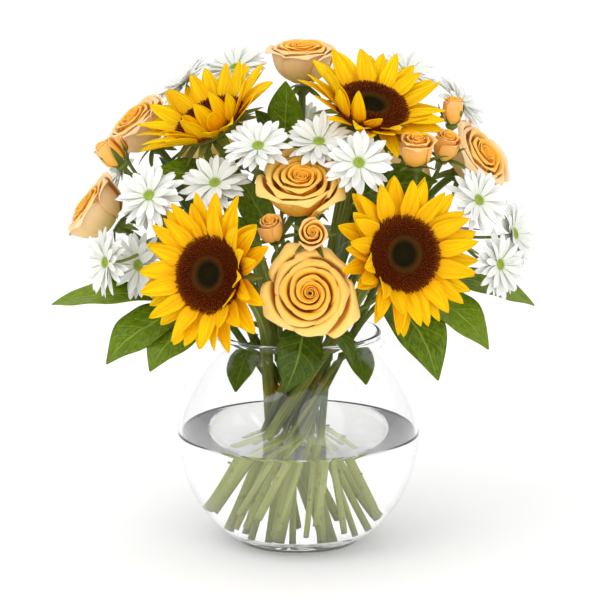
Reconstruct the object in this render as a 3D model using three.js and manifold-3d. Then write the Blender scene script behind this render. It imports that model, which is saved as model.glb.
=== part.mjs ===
// Sunflowers, roses and daisies standing in a glass globe vase half full of water.
// Millimetres, +Z up. The origin is the centre of the vase's flat foot. -Y is the front.
import * as THREE from 'three';
import { mergeVertices } from 'three/addons/utils/BufferGeometryUtils.js';
import Module from 'manifold-3d';

const wasm = await Module();
wasm.setup();

const TURN = 2 * Math.PI;
const DEGREE = Math.PI / 180;

// ---- Driving dimensions ----

const GAP = 0.3; // clear space between two pieces that touch

const GLOBE = {
  radius: 100, // widest, at the equator
  tall: 107, // half the height of the full ellipse that the body follows
  equator: 93.5,
  height: 178,
  foot: 46, // radius of the flat foot
  lip: 67.5, // outer radius of the rim
  wall: 3,
  floor: 12, // thickness of the glass under the water
  corner: 6, // how far the floor's edge stays inside the wall
  sides: 24,
};
const WATER_LEVEL = 93.5;
// Heights of the rings that the wall is built from, up to the water and above it.
const WET_HEIGHTS = [20, 44, 70, WATER_LEVEL];
const DRY_HEIGHTS = [117, 141, 163];

// The stems are straight below the rim and lie in one spiral bundle: each turns about the axis by the same
// rule, so no two of them meet.
const BUNDLE = {
  waist: 115, // height of the narrowest place
  radius: 26.5, // outermost stem centre there
  twist: 0.027, // sideways travel for each mm of height and each mm from the axis
  straightTo: 180,
  lowestFoot: 17,
  outerFootRise: 27, // the outermost stems are cut this much shorter
  fan: 48, // a bloom this far out or farther starts from the outermost stem
  farBloom: 150,
  apart: 1.22, // stems lie this many times their own width from each other
  steps: 5, // pieces of each stem: one straight piece, then the bend
};

const SUNFLOWER = {
  discRadius: 29,
  columns: 13, // florets round each ring of the disc
  rays: 12, // in each of two layers
  reach: 33,
  rayWidth: 9.5,
  thick: 1,
  layer: 0.9, // half the step between the layers
  stem: 5,
  neck: 10, // from the centre of the bloom back to the end of its stem
};
const ROSE = { stem: 3, neck: 36, top: 33, bottom: 8 };
const DAISY = { petals: 9, reach: 22, notch: 5, width: 5.4, thick: 0.8, eye: 4, stem: 2.2, twig: 1.3 };
const BUD = { stem: 2.4, twig: 1.5 };
const FOLIAGE_STEM = 2;

// Blooms: place of the centre, then azimuth (0 faces the front, + turns to +X) and elevation of its face.
const SUNFLOWERS = [
  { name: 'sunflower_1', place: [-66, -118, 247], face: [-30, 12], cup: 14, lean: [0, 50] },
  { name: 'sunflower_2', place: [79, -114, 262], face: [20, 12], cup: 14, lean: [200, 45] },
  { name: 'sunflower_3', place: [-70, -20, 351], face: [-52, 56], cup: 30, lean: [330, 50] },
  { name: 'sunflower_4', place: [57, -38, 364], face: [20, 57], cup: 20, lean: [200, 50] },
];

// The roses that show their heart have one more ring of petals.
const ROSES = [
  { name: 'rose_1', place: [2, -94, 313], face: [0, 57], size: 0.97, full: true },
  { name: 'rose_2', place: [9, -131, 235], face: [0, 14], size: 0.98, full: true },
  { name: 'rose_3', place: [3, 32, 400], face: [0, 80], size: 0.9 },
  { name: 'rose_4', place: [-132, 28, 345], face: [-68, 50], size: 0.86 },
  { name: 'rose_5', place: [-166, -15, 282], face: [-80, 36], size: 0.86 },
  { name: 'rose_6', place: [147, 2, 320], face: [58, 34], size: 0.86, full: true },
  { name: 'rose_7', place: [-70, 105, 315], face: [215, 42], size: 0.9 },
  { name: 'rose_8', place: [82, 100, 300], face: [140, 38], size: 0.9 },
];

const BUD_SPRAYS = [
  {
    name: 'bud_spray_1', fork: [-4, -84, 245],
    buds: [
      { place: [-20, -110, 281], face: [-20, 58], radius: 11, open: 0.4 },
      { place: [11, -130, 280], face: [0, 24], radius: 10.5, open: 0.8 },
    ],
  },
  {
    name: 'bud_spray_2', fork: [98, -34, 290],
    buds: [
      { place: [92, -80, 337], face: [10, 72], radius: 13, open: 0.8 },
      { place: [116, -52, 337], face: [30, 62], radius: 12, open: 0.5 },
      { place: [123, -22, 361], face: [20, 78], radius: 11, open: 0.2 },
    ],
  },
  {
    name: 'bud_spray_3', fork: [-122, -24, 300],
    buds: [
      { place: [-149, -30, 328], face: [-75, 48], radius: 12, open: 0.2 },
      { place: [-143, -11, 331], face: [-60, 62], radius: 7, open: 0.1 },
    ],
  },
];

const DAISY_SPRAYS = [
  {
    name: 'daisy_spray_1', fork: [-112, -48, 258],
    heads: [
      { place: [-116, -74, 301], face: [-22, 32] },
      { place: [-150, -78, 249], face: [-55, 8] },
      { place: [-126, -58, 243], face: [-30, 2] },
    ],
  },
  {
    name: 'daisy_spray_2', fork: [-42, -48, 290],
    heads: [
      { place: [-65, -70, 310], face: [-10, 45] },
      { place: [-31, -84, 341], face: [-8, 50] },
    ],
  },
  {
    name: 'daisy_spray_3', fork: [34, -46, 305],
    heads: [
      { place: [46, -104, 331], face: [12, 28] },
      { place: [16, -74, 343], face: [0, 52] },
    ],
  },
  {
    name: 'daisy_spray_4', fork: [124, -34, 262],
    heads: [
      { place: [140, -72, 297], face: [38, 26] },
      { place: [158, -66, 245], face: [48, 10] },
      { place: [172, -34, 264], face: [66, 18] },
    ],
  },
  {
    name: 'daisy_spray_5', fork: [-78, 30, 335],
    heads: [
      { place: [-94, 46, 376], face: [-80, 48] },
      { place: [-52, 48, 388], face: [-24, 62] },
      { place: [-148, 52, 302], face: [-78, 26] },
    ],
  },
  {
    name: 'daisy_spray_6', fork: [96, 32, 335],
    heads: [
      { place: [88, 36, 386], face: [40, 60] },
      { place: [132, 28, 362], face: [74, 42] },
    ],
  },
  {
    name: 'daisy_spray_7', fork: [0, 84, 290],
    heads: [
      { place: [4, 122, 330], face: [180, 40] },
      { place: [6, 138, 272], face: [184, 8] },
      { place: [-128, 88, 272], face: [232, 18] },
    ],
  },
];

// Leafy branches. Each leaf grows at a share of the branch's length and has its tip, greatest half-width and
// arch, which is how far its middle bows out. `face` is where its upper side looks, if that isn't up.
const SPRIGS = [
  {
    name: 'foliage_left', route: [[-72, -48, 203], [-110, -56, 215]],
    leaves: [
      { at: 0.9, tip: [-198, -38, 207], half: 19, arch: 8, face: [0, 66] },
      { at: 0.4, tip: [-152, -72, 166], half: 26, arch: 10, face: [-34, 44] },
      { at: 0.05, tip: [-116, -97, 166], half: 24, arch: 10, face: [-20, 44] },
    ],
  },
  {
    name: 'foliage_right', route: [[66, -36, 216], [112, -34, 230]],
    leaves: [
      { at: 0.1, tip: [109, -102, 160], half: 26, arch: 12, face: [20, 40] },
      { at: 0.5, tip: [151, -64, 176], half: 25, arch: 10, face: [34, 44] },
      { at: 0.95, tip: [191, -22, 203], half: 19, arch: 8, face: [10, 60] },
    ],
  },
  {
    name: 'foliage_front', route: [[-8, -44, 214], [-18, -62, 262]],
    leaves: [
      { at: 0.9, tip: [-50, -64, 318], half: 17, arch: -6 },
      { at: 0.5, tip: [-8, -86, 268], half: 14, arch: -6 },
    ],
  },
  {
    name: 'foliage_top', route: [[-14, -8, 262], [-12, -14, 330]],
    leaves: [
      { at: 0.97, tip: [-10, -34, 386], half: 17, arch: -4 },
      { at: 0.6, tip: [32, -12, 340], half: 13, arch: 4 },
      { at: 0.4, tip: [-70, -46, 330], half: 20, arch: 6 },
    ],
  },
  {
    name: 'foliage_back_left', route: [[-48, 52, 222], [-70, 78, 244]],
    leaves: [
      { at: 0.9, tip: [-128, 128, 214], half: 23, arch: 12 },
      { at: 0.3, tip: [-66, 128, 180], half: 22, arch: 12 },
      { at: 0.6, tip: [-150, 62, 226], half: 21, arch: 10 },
    ],
  },
  {
    name: 'foliage_back_right', route: [[50, 50, 222], [72, 74, 244]],
    leaves: [
      { at: 0.9, tip: [130, 122, 212], half: 23, arch: 12 },
      { at: 0.3, tip: [64, 128, 178], half: 22, arch: 12 },
      { at: 0.6, tip: [156, 58, 228], half: 21, arch: 10 },
    ],
  },
];

// Leaves that grow on the stems of blooms, at a share of the stem's length. Some hang at the vase's rim.
const STEM_LEAVES = {
  sunflower_3: [
    { at: 0.74, tip: [-112, -54, 318], half: 22, arch: 6, face: [-20, 40] },
    { at: 0.5, tip: [-70, -66, 284], half: 20, arch: 4, face: [-10, 20] },
  ],
  sunflower_4: [
    { at: 0.68, tip: [110, -46, 308], half: 22, arch: 6, face: [20, 40] },
    { at: 0.56, tip: [104, 20, 296], half: 22, arch: 8, face: [90, 40] },
    { at: 0.48, tip: [50, -76, 268], half: 18, arch: 4, face: [10, 20] },
  ],
  rose_2: [
    { at: 0.5, tip: [-10, -95, 149], half: 23, arch: 14 },
    { at: 0.42, tip: [43, -86, 168], half: 15, arch: 12 },
  ],
  rose_3: [
    { at: 0.72, tip: [-36, 58, 352], half: 19, arch: 6, face: [190, 40] },
    { at: 0.58, tip: [30, 74, 316], half: 20, arch: 6, face: [170, 40] },
    { at: 0.4, tip: [22, 72, 262], half: 15, arch: 6, face: [170, 40] },
  ],
  rose_4: [
    { at: 0.6, tip: [-112, -8, 322], half: 18, arch: -6 },
    { at: 0.5, tip: [-128, 64, 266], half: 18, arch: 4, face: [-120, 50] },
  ],
  rose_5: [
    { at: 0.5, tip: [-138, 34, 214], half: 18, arch: 8 },
    { at: 0.66, tip: [-156, -46, 228], half: 19, arch: 6, face: [-50, 40] },
  ],
  rose_6: [
    { at: 0.45, tip: [130, 22, 226], half: 17, arch: 8 },
    { at: 0.62, tip: [146, -40, 268], half: 17, arch: 4, face: [50, 30] },
  ],
  rose_7: [
    { at: 0.62, tip: [-28, 118, 250], half: 18, arch: 8 },
    { at: 0.5, tip: [-104, 62, 280], half: 18, arch: -5 },
  ],
  rose_8: [
    { at: 0.62, tip: [24, 114, 244], half: 18, arch: 8 },
    { at: 0.5, tip: [114, 56, 280], half: 18, arch: -5 },
  ],
  bud_spray_2: [{ at: 0.6, tip: [94, -72, 318], half: 17, arch: -5 }],
  daisy_spray_1: [{ at: 0.19, tip: [-50, -52, 138], half: 14, arch: 4 }],
  daisy_spray_4: [{ at: 0.19, tip: [54, -44, 142], half: 13, arch: 4, face: [20, 10] }],
};

// ---- Solids ----

// A repeatable random number from 0 to 1.
function seeded(seed) {
  let state = seed;
  return () => {
    state = (state * 1664525 + 1013904223) % 4294967296;
    return state / 4294967296;
  };
}

function signedVolume(points, faces) {
  const [a, b, c] = [new THREE.Vector3(), new THREE.Vector3(), new THREE.Vector3()];
  let sum = 0;
  for (let i = 0; i < faces.length; i += 3) {
    a.fromArray(points, 3 * faces[i]);
    b.fromArray(points, 3 * faces[i + 1]);
    c.fromArray(points, 3 * faces[i + 2]);
    sum += a.dot(b.cross(c));
  }
  return sum;
}

// A solid from a closed mesh: faces without area go, and all faces point out.
function solidFrom(points, faces) {
  const kept = [];
  for (let i = 0; i < faces.length; i += 3) {
    const [a, b, c] = [faces[i], faces[i + 1], faces[i + 2]];
    if (a !== b && b !== c && c !== a) kept.push(a, b, c);
  }
  if (signedVolume(points, kept) < 0) {
    for (let i = 0; i < kept.length; i += 3) [kept[i], kept[i + 1]] = [kept[i + 1], kept[i]];
  }
  const mesh = new wasm.Mesh({
    numProp: 3, vertProperties: new Float32Array(points), triVerts: new Uint32Array(kept),
  });
  return new wasm.Manifold(mesh);
}

function solidOf(geometry) {
  const bare = geometry.clone();
  bare.deleteAttribute('normal');
  bare.deleteAttribute('uv');
  const merged = mergeVertices(bare, 1e-4);
  return solidFrom(merged.attributes.position.array, Array.from(merged.index.array));
}

function fuse(solids) {
  return solids.reduce((whole, solid) => whole.add(solid));
}

function largestBody(solid) {
  return solid.decompose().reduce((best, body) => (body.volume() > best.volume() ? body : best));
}

const vector = (p) => new THREE.Vector3(p[0], p[1], p[2]);

function facing([azimuth, elevation]) {
  const level = Math.cos(elevation * DEGREE);
  return new THREE.Vector3(
    level * Math.sin(azimuth * DEGREE), -level * Math.cos(azimuth * DEGREE), Math.sin(elevation * DEGREE),
  );
}

// The frame of a bloom: its centre is the origin, +Z is where it faces, +Y leans up.
function bloomFrame(place, face) {
  const forward = facing(face);
  const side = new THREE.Vector3(0, 0, 1).cross(forward).normalize();
  const up = forward.clone().cross(side);
  return new THREE.Matrix4().makeBasis(side, up, forward).setPosition(vector(place));
}

// ---- Pieces that repeat ----

function tube(path, radius, steps, sides) {
  const section = new THREE.Shape();
  for (let i = 0; i < sides; i++) {
    const angle = TURN * i / sides;
    if (i === 0) section.moveTo(radius, 0);
    else section.lineTo(radius * Math.cos(angle), radius * Math.sin(angle));
  }
  section.closePath();
  return solidOf(new THREE.ExtrudeGeometry(section, { steps, bevelEnabled: false, extrudePath: path }));
}

function lathe(profile, sides, frame) {
  const geometry = new THREE.LatheGeometry(profile.map(([r, z]) => new THREE.Vector2(r, z)), sides);
  geometry.rotateX(Math.PI / 2);
  if (frame) geometry.applyMatrix4(frame);
  return solidOf(geometry);
}

// A thin leaf: middle(u, v) is its middle surface, u from -1 to 1 across and v from 0 to 1 along. It has one
// point at each end, and three in each row between.
function blade(middle, rows, thick) {
  const upper = [];
  const lower = [];
  const step = 0.01;
  [[0, 0], ...rows.flatMap((v) => [[-1, v], [0, v], [1, v]]), [0, 1]].forEach(([u, v]) => {
    const alongU = middle(u + step, v).sub(middle(u - step, v));
    const alongV = middle(u, v + step).sub(middle(u, v - step));
    const offset = alongU.cross(alongV).normalize().multiplyScalar(thick / 2);
    upper.push(middle(u, v).add(offset));
    lower.push(middle(u, v).sub(offset));
  });
  const count = upper.length;
  const last = count - 1;
  const faces = [];
  const add = (a, b, c) => faces.push(a, b, c, count + c, count + b, count + a);
  add(0, 1, 2);
  add(0, 2, 3);
  for (let a = 1; a < last - 3; a++) {
    if (a % 3 === 0) continue;
    add(a, a + 3, a + 4);
    add(a, a + 4, a + 1);
  }
  add(last - 3, last, last - 2);
  add(last - 2, last, last - 1);
  const left = rows.map((_, i) => 1 + 3 * i);
  const right = rows.map((_, i) => 3 + 3 * i).reverse();
  const rim = [0, ...left, last, ...right];
  rim.forEach((a, i) => {
    const b = rim[(i + 1) % rim.length];
    faces.push(a, count + a, count + b, a, count + b, b);
  });
  return solidFrom([...upper, ...lower].flatMap((p) => p.toArray()), faces);
}

// Outlines of a ray or petal between its two notches, as shares: distance along, half-width, roll.
const SPIKE = [[1, 0, 0]];
const POINTED = [[0.5, -1, 0], [1, 0, 0], [0.5, 1, 0]];
const BLUNT = [[0.78, -1, 0], [1, 0, 0], [0.78, 1, 0]];
const CUPPED = [[0.4, -0.72, 0], [0.86, -1, 0.6], [1, 0, 1], [0.86, 1, 0.6], [0.4, 0.72, 0]];
const FURLED = [[0.4, -1, 0], [1, 0, 1], [0.4, 1, 0]];

// The upper and lower points of one ring of rays round a flat hub, in the bloom's frame: for each ray its
// notch, its outline and, if it has one, its middle. `lift(angle)` tips a ray forward, in degrees.
function rayPoints(ring, extra) {
  const random = seeded(ring.seed);
  const half = ring.thick / 2 + extra;
  const upper = [];
  const lower = [];
  const put = (x, y, z, nx, ny, nz) => {
    upper.push(new THREE.Vector3(x + nx * half, y + ny * half, z + nz * half));
    lower.push(new THREE.Vector3(x - nx * half, y - ny * half, z - nz * half));
  };
  const pitch = TURN / ring.rays;
  for (let i = 0; i < ring.rays; i++) {
    const angle = pitch * (i + ring.phase);
    const tilt = (ring.lift(angle) + (random() - 0.5) * ring.unrest) * DEGREE;
    const length = ring.reach * (0.94 + 0.12 * random()) + extra;
    const [rise, run] = [Math.sin(tilt), Math.cos(tilt)];
    const [c, s] = [Math.cos(angle), Math.sin(angle)];
    const start = angle - pitch / 2;
    const notch = ring.notch + extra;
    put(notch * Math.cos(start), notch * Math.sin(start), ring.height, 0, 0, 1);
    const spot = (distance, across, raise) => {
      const radius = ring.notch + distance * run - raise * rise;
      const z = ring.height + distance * rise + raise * run;
      put(radius * c - across * s, radius * s + across * c, z, -rise * c, -rise * s, run);
    };
    ring.outline.forEach(([way, across, roll]) => {
      spot(way * length, across * (ring.width || 0) + Math.sign(across) * extra, roll * (ring.roll || 0));
    });
    if (ring.middle) spot(ring.middle[0] * length, 0, ring.middle[1]);
  }
  return { upper, lower };
}

// The faces of one side of a ring's rays, and the edges round them, from the first point's number on.
function rayFaces(ring, first) {
  const corners = ring.outline.length;
  const perRay = 1 + corners + (ring.middle ? 1 : 0);
  const faces = [];
  const edges = [];
  for (let i = 0; i < ring.rays; i++) {
    const notch = first + perRay * i;
    const next = first + perRay * ((i + 1) % ring.rays);
    const hub = ring.middle ? notch + 1 + corners : notch + (1 + corners) / 2;
    const round = [notch, ...ring.outline.map((_, k) => notch + 1 + k), next];
    round.forEach((a, k) => {
      const b = round[(k + 1) % round.length];
      if (a !== hub && b !== hub) faces.push([hub, a, b]);
      if (b !== notch) edges.push([a, b]);
    });
  }
  return { faces, edges, notch: (i) => first + perRay * (i % ring.rays) };
}

// Rings of rays as one closed body. Each ring lies behind the one before, half a ray round, and a low wall at
// the notches joins the two. `above` and `below` raise the middle of the hub's two faces.
function rayHead(rings, above, below, extra, frame) {
  const points = [];
  const faces = [];
  const notches = [];
  rings.forEach((ring, k) => {
    const { upper, lower } = rayPoints(ring, extra);
    const shape = rayFaces(ring, points.length);
    points.push(...upper, ...lower);
    const count = upper.length;
    const isFirst = k === 0;
    const isLast = k === rings.length - 1;
    shape.faces.forEach(([a, b, c]) => faces.push(a, b, c, count + c, count + b, count + a));
    shape.edges.forEach(([a, b]) => faces.push(a, count + a, count + b, a, count + b, b));
    notches.push({ top: shape.notch, bottom: (i) => count + shape.notch(i) });
    if (isFirst) {
      const peak = ring.height + ring.thick / 2 + extra + above;
      const middle = points.push(new THREE.Vector3(0, 0, peak)) - 1;
      for (let i = 0; i < ring.rays; i++) faces.push(middle, shape.notch(i), shape.notch(i + 1));
    }
    if (isLast) {
      const pit = ring.height - ring.thick / 2 - extra - below;
      const middle = points.push(new THREE.Vector3(0, 0, pit)) - 1;
      const under = (i) => count + shape.notch(i);
      for (let i = 0; i < ring.rays; i++) faces.push(middle, under(i + 1), under(i));
    }
    if (!isFirst) {
      const before = notches[k - 1];
      const late = ring.phase > rings[k - 1].phase ? 0 : 1;
      for (let i = 0; i < ring.rays; i++) {
        const [front, frontNext] = [before.bottom(i), before.bottom(i + 1)];
        const [back, backNext] = [shape.notch(i + late), shape.notch(i + 1 + late)];
        faces.push(front, back, frontNext, back, backNext, frontNext);
      }
    }
  });
  return solidFrom(points.flatMap((p) => p.applyMatrix4(frame).toArray()), faces);
}

// An ovate pointed leaf from its base to its tip, folded a little along its midrib.
function leaf(from, { tip, half, arch, face }, extra) {
  const to = vector(tip);
  const run = to.clone().sub(from);
  const outward = new THREE.Vector3(from.x + to.x, from.y + to.y, 0).normalize();
  const steep = Math.abs(run.z) > 0.75 * run.length();
  const level = steep ? outward : new THREE.Vector3(0, 0, 1);
  const above = face ? facing(face) : level;
  const side = run.clone().cross(above).normalize();
  const up = side.clone().cross(run).normalize();
  const stretch = extra / run.length();
  const middle = (u, v) => {
    const way = -stretch + v * (1 + 2 * stretch);
    const share = Math.min(1, Math.max(0, v));
    const width = 0.7 + extra + half * Math.max(0, Math.sin(Math.PI * share ** 0.9)) * share ** 0.25;
    return from.clone().addScaledVector(run, way)
      .addScaledVector(up, arch * 4 * way * (1 - way) + 0.16 * Math.abs(u) * width)
      .addScaledVector(side, u * width);
  };
  return blade(middle, [0.28, 0.62], 1 + 2 * extra);
}

// ---- Stems ----

const STEM_RADIUS = {
  sunflower: SUNFLOWER.stem, rose: ROSE.stem, bud: BUD.stem, daisy: DAISY.stem, foliage: FOLIAGE_STEM,
};

function bundleScale(z) {
  return BUNDLE.twist * (z - BUNDLE.waist);
}

// Where a stem with this slot at the waist is at height z.
function bundlePoint(slot, z) {
  const turn = bundleScale(z);
  return new THREE.Vector3(slot.x - turn * slot.y, slot.y + turn * slot.x, z);
}

// Every stem starts at the slot that leads towards its bloom, then the slots push each other apart.
function assignSlots(stems) {
  const turn = bundleScale(BUNDLE.straightTo);
  const size = 1 + turn * turn;
  stems.forEach((stem) => {
    const reach = Math.hypot(stem.toward[0], stem.toward[1]);
    const radius = BUNDLE.fan * Math.min(1, reach / BUNDLE.farBloom) ** 0.8;
    const [x, y] = [stem.toward[0] * radius / reach, stem.toward[1] * radius / reach];
    stem.slot = new THREE.Vector2((x + turn * y) / size, (y - turn * x) / size);
  });
  for (let round = 0; round < 400; round++) {
    stems.forEach((stem, i) => {
      for (const other of stems.slice(i + 1)) {
        const between = other.slot.clone().sub(stem.slot);
        const short = BUNDLE.apart * (stem.radius + other.radius) + 1 - between.length();
        if (short > 0) {
          between.normalize().multiplyScalar(short / 2);
          other.slot.add(between);
          stem.slot.sub(between);
        }
      }
    });
    stems.forEach((stem) => stem.slot.clampLength(0, BUNDLE.radius));
  }
}

function footHeight(slot) {
  return BUNDLE.lowestFoot + BUNDLE.outerFootRise * (slot.length() / BUNDLE.radius) ** 2;
}

// The path of a stem: straight from its foot to the rim in the first step, then bending to where it ends.
class StemPath extends THREE.Curve {
  constructor(stem, extra) {
    super();
    const { slot, end, direction } = stem;
    const foot = bundlePoint(slot, footHeight(slot) - extra);
    const top = bundlePoint(slot, BUNDLE.straightTo);
    const along = top.clone().sub(foot).normalize();
    const reach = top.distanceTo(end);
    this.bendFrom = 1 / BUNDLE.steps;
    this.straight = new THREE.LineCurve3(foot, top);
    const leave = top.clone().addScaledVector(along, 0.3 * reach);
    const arrive = end.clone().addScaledVector(direction, -0.35 * reach);
    this.bend = new THREE.CubicBezierCurve3(top, leave, arrive, end);
  }

  getPoint(t) {
    if (t <= this.bendFrom) return this.straight.getPoint(t / this.bendFrom);
    return this.bend.getPoint((t - this.bendFrom) / (1 - this.bendFrom));
  }

  getPointAt(t) {
    return this.getPoint(t);
  }

  getTangentAt(t) {
    return this.getTangent(t);
  }
}

// A stem with the leaves that grow on it.
function stemSolid(stem, extra) {
  const body = tube(new StemPath(stem, extra), stem.radius + extra, BUNDLE.steps, stem.sides);
  const path = new StemPath(stem, 0);
  const shapes = STEM_LEAVES[stem.bloom.name] || [];
  return fuse([body, ...shapes.map((shape) => leaf(path.getPoint(shape.at), shape, extra))]);
}

function twig(from, to, direction) {
  const reach = from.distanceTo(to);
  return new THREE.CubicBezierCurve3(
    from, from.clone().lerp(to, 0.3), to.clone().addScaledVector(direction, -reach * 0.4), to,
  );
}

// ---- Vase and water ----

function globeRadius(z, inset) {
  const reach = (z - GLOBE.equator) / (GLOBE.tall - inset);
  return (GLOBE.radius - inset) * Math.sqrt(Math.max(0, 1 - reach * reach));
}

function vase() {
  const outside = [2.5, ...WET_HEIGHTS, ...DRY_HEIGHTS].map((z) => [globeRadius(z, 0), z]);
  const lip = [
    [GLOBE.lip, GLOBE.height - 5], [GLOBE.lip, GLOBE.height], [GLOBE.lip - 3.5, GLOBE.height],
    [GLOBE.lip - 3.5, GLOBE.height - 5],
  ];
  const inside = [...WET_HEIGHTS, ...DRY_HEIGHTS].reverse().map((z) => [globeRadius(z, GLOBE.wall), z]);
  const floor = [[globeRadius(GLOBE.floor, GLOBE.wall + GLOBE.corner), GLOBE.floor], [0, GLOBE.floor]];
  return lathe([[0, 0], [GLOBE.foot, 0], ...outside, ...lip, ...inside, ...floor], GLOBE.sides);
}

function water(stems) {
  const inset = GLOBE.wall + 1.5 * GAP;
  const side = WET_HEIGHTS.map((z) => [globeRadius(z, inset), z]);
  const floor = GLOBE.floor + GAP;
  const corner = [globeRadius(floor, inset + GLOBE.corner + GAP), floor];
  const body = lathe([[0, floor], corner, ...side, [0, WATER_LEVEL]], GLOBE.sides);
  return stems.reduce((rest, { slot, radius, sides }) => {
    const foot = bundlePoint(slot, footHeight(slot) - 2 * GAP);
    const hole = new THREE.LineCurve3(foot, bundlePoint(slot, WATER_LEVEL + 5));
    return rest.subtract(tube(hole, radius + 1.3 * GAP, 1, sides));
  }, body);
}

// ---- Blooms ----

function sunflowerRays(flower, extra) {
  const frame = bloomFrame(flower.place, flower.face);
  const [toward, amount] = flower.lean;
  const lift = (base, share) => (angle) => {
    const near = Math.max(0, Math.cos(angle - toward * DEGREE));
    return base + amount * share * near * near;
  };
  const common = {
    rays: SUNFLOWER.rays, notch: SUNFLOWER.discRadius + 1, width: SUNFLOWER.rayWidth, thick: SUNFLOWER.thick,
    outline: POINTED, middle: [0.45, -1.4], unrest: 10,
  };
  const front = {
    ...common, height: SUNFLOWER.layer, phase: 0, seed: 7, lift: lift(flower.cup + 12, 1),
    reach: SUNFLOWER.reach - 4,
  };
  const rear = {
    ...common, height: -SUNFLOWER.layer, phase: 0.5, seed: 11, lift: lift(flower.cup - 6, 0.5),
    reach: SUNFLOWER.reach,
  };
  return rayHead([front, rear], 0, 0, extra, frame);
}

// The disc: a low dome with a hollow middle, its florets raised in turn along two crossing spirals.
function sunflowerDisc(flower, extra) {
  const rings = [[0, 4.4], [7, 5], [14, 7.6], [22, 8], [SUNFLOWER.discRadius - 0.5, 3.6]];
  const bottom = SUNFLOWER.layer + SUNFLOWER.thick / 2 + GAP;
  const { columns } = SUNFLOWER;
  const points = [0, 0, bottom - extra];
  for (let i = 0; i < columns; i++) {
    const [r, a] = [SUNFLOWER.discRadius - 1 + extra, TURN * i / columns];
    points.push(r * Math.cos(a), r * Math.sin(a), bottom - extra);
  }
  rings.slice(1).reverse().forEach(([r, z], j) => {
    for (let i = 0; i < columns; i++) {
      const a = TURN * (i + j / 2) / columns;
      const bump = (i + j) % 2 ? 0.9 : -0.9;
      points.push((r + extra) * Math.cos(a), (r + extra) * Math.sin(a), z + (j ? bump : 0) + extra);
    }
  });
  points.push(0, 0, rings[0][1] + extra);
  const faces = [];
  const rows = rings.length;
  const at = (j, i) => 1 + j * columns + (i % columns);
  for (let i = 0; i < columns; i++) {
    faces.push(0, at(0, i + 1), at(0, i));
    for (let j = 0; j < rows - 1; j++) {
      faces.push(at(j, i), at(j, i + 1), at(j + 1, i + 1), at(j, i), at(j + 1, i + 1), at(j + 1, i));
    }
    faces.push(at(rows - 1, i), at(rows - 1, i + 1), 1 + rows * columns);
  }
  const geometry = new THREE.BufferGeometry();
  geometry.setAttribute('position', new THREE.Float32BufferAttribute(points, 3));
  geometry.setIndex(faces);
  geometry.applyMatrix4(bloomFrame(flower.place, flower.face));
  return solidFrom(geometry.attributes.position.array, faces);
}

function sunflowerGreen(stem, extra) {
  const flower = stem.bloom;
  const frame = bloomFrame(flower.place, flower.face);
  const top = -SUNFLOWER.layer - SUNFLOWER.thick / 2 - GAP;
  const bracts = rayHead([{
    rays: 8, notch: 19, reach: 24, thick: 1, outline: SPIKE, unrest: 8, seed: 5, phase: 0.25,
    height: top - 0.5, lift: () => -12,
  }], 0, 11, extra, frame);
  return fuse([stemSolid(stem, extra), bracts]);
}

// A rose: upright rings of cupped petals round a pointed heart, the outer ones leaning out and rolled back.
function roseBloom(rose, extra) {
  const frame = bloomFrame(rose.place, rose.face);
  frame.scale(new THREE.Vector3(rose.size, rose.size, rose.size));
  const common = { rays: 5, thick: 1.2, outline: CUPPED, unrest: 6 };
  const rings = [
    {
      ...common, notch: 7, reach: 35, width: 7, roll: 0, middle: [0.5, -1.5], height: -20, lift: () => 82,
      phase: 0, seed: 2,
    },
    {
      ...common, notch: 10, reach: 36, width: 11.5, roll: -2, middle: [0.5, -3], height: -22, lift: () => 69,
      phase: 0.5, seed: 4,
    },
    {
      ...common, notch: 13, reach: 37, width: 18, roll: -6, middle: [0.5, -4], height: -24, lift: () => 52,
      phase: 0, seed: 6,
    },
  ];
  return rayHead(rose.full ? rings : rings.slice(1), ROSE.top, ROSE.bottom, extra, frame);
}

// The calyx of a rose: a small cup under the petals with five sepals bent back.
function roseGreen(stem, extra) {
  const rose = stem.bloom;
  const frame = bloomFrame(rose.place, rose.face);
  frame.scale(new THREE.Vector3(rose.size, rose.size, rose.size));
  const calyx = rayHead([{
    rays: 5, notch: 7, reach: 22, thick: 1, outline: SPIKE, unrest: 14, seed: 8, phase: 0.2,
    height: -29.6, lift: () => -28,
  }], -4.3, 11, extra, frame);
  return fuse([stemSolid(stem, extra), calyx]);
}

// A spray-rose bud: one or two rings of furled petals round a pointed heart.
function budBloom(bud, extra) {
  const frame = bloomFrame(bud.place, bud.face);
  const r = bud.radius;
  const common = { rays: 4, thick: 0.9, outline: FURLED, unrest: 6 };
  const inner = {
    ...common, notch: 0.36 * r, reach: 1.75 * r, width: 0.42 * r, roll: 0.12 * r, middle: [0.5, -0.1 * r],
    height: -0.82 * r, lift: () => 80, phase: 0, seed: 12,
  };
  const outer = {
    ...common, notch: 0.5 * r, reach: 1.65 * r, width: 0.6 * r, roll: -0.3 * r * bud.open,
    middle: [0.5, -0.1 * r], height: -0.82 * r - 1.2, lift: () => 78 - 14 * bud.open, phase: 0.5, seed: 14,
  };
  return rayHead(bud.open > 0.3 ? [inner, outer] : [outer], 1.6 * r, 0.25 * r, extra, frame);
}

// The sepals of a bud: they hug a closed bud and bend away from an open one.
function budCalyx(bud, extra) {
  const r = bud.radius;
  const frame = bloomFrame(bud.place, bud.face);
  const isOpen = bud.open > 0.3;
  return rayHead([{
    rays: 5, notch: isOpen ? 0.66 * r : 0.98 * r, reach: 1.3 * r, thick: 0.8, outline: SPIKE,
    unrest: 8, seed: 9, phase: 0.1, height: -0.82 * r - 2.6, lift: () => (isOpen ? 12 : 82),
  }], -0.28 * r, 0.4 * r + 4, extra, frame);
}

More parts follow.
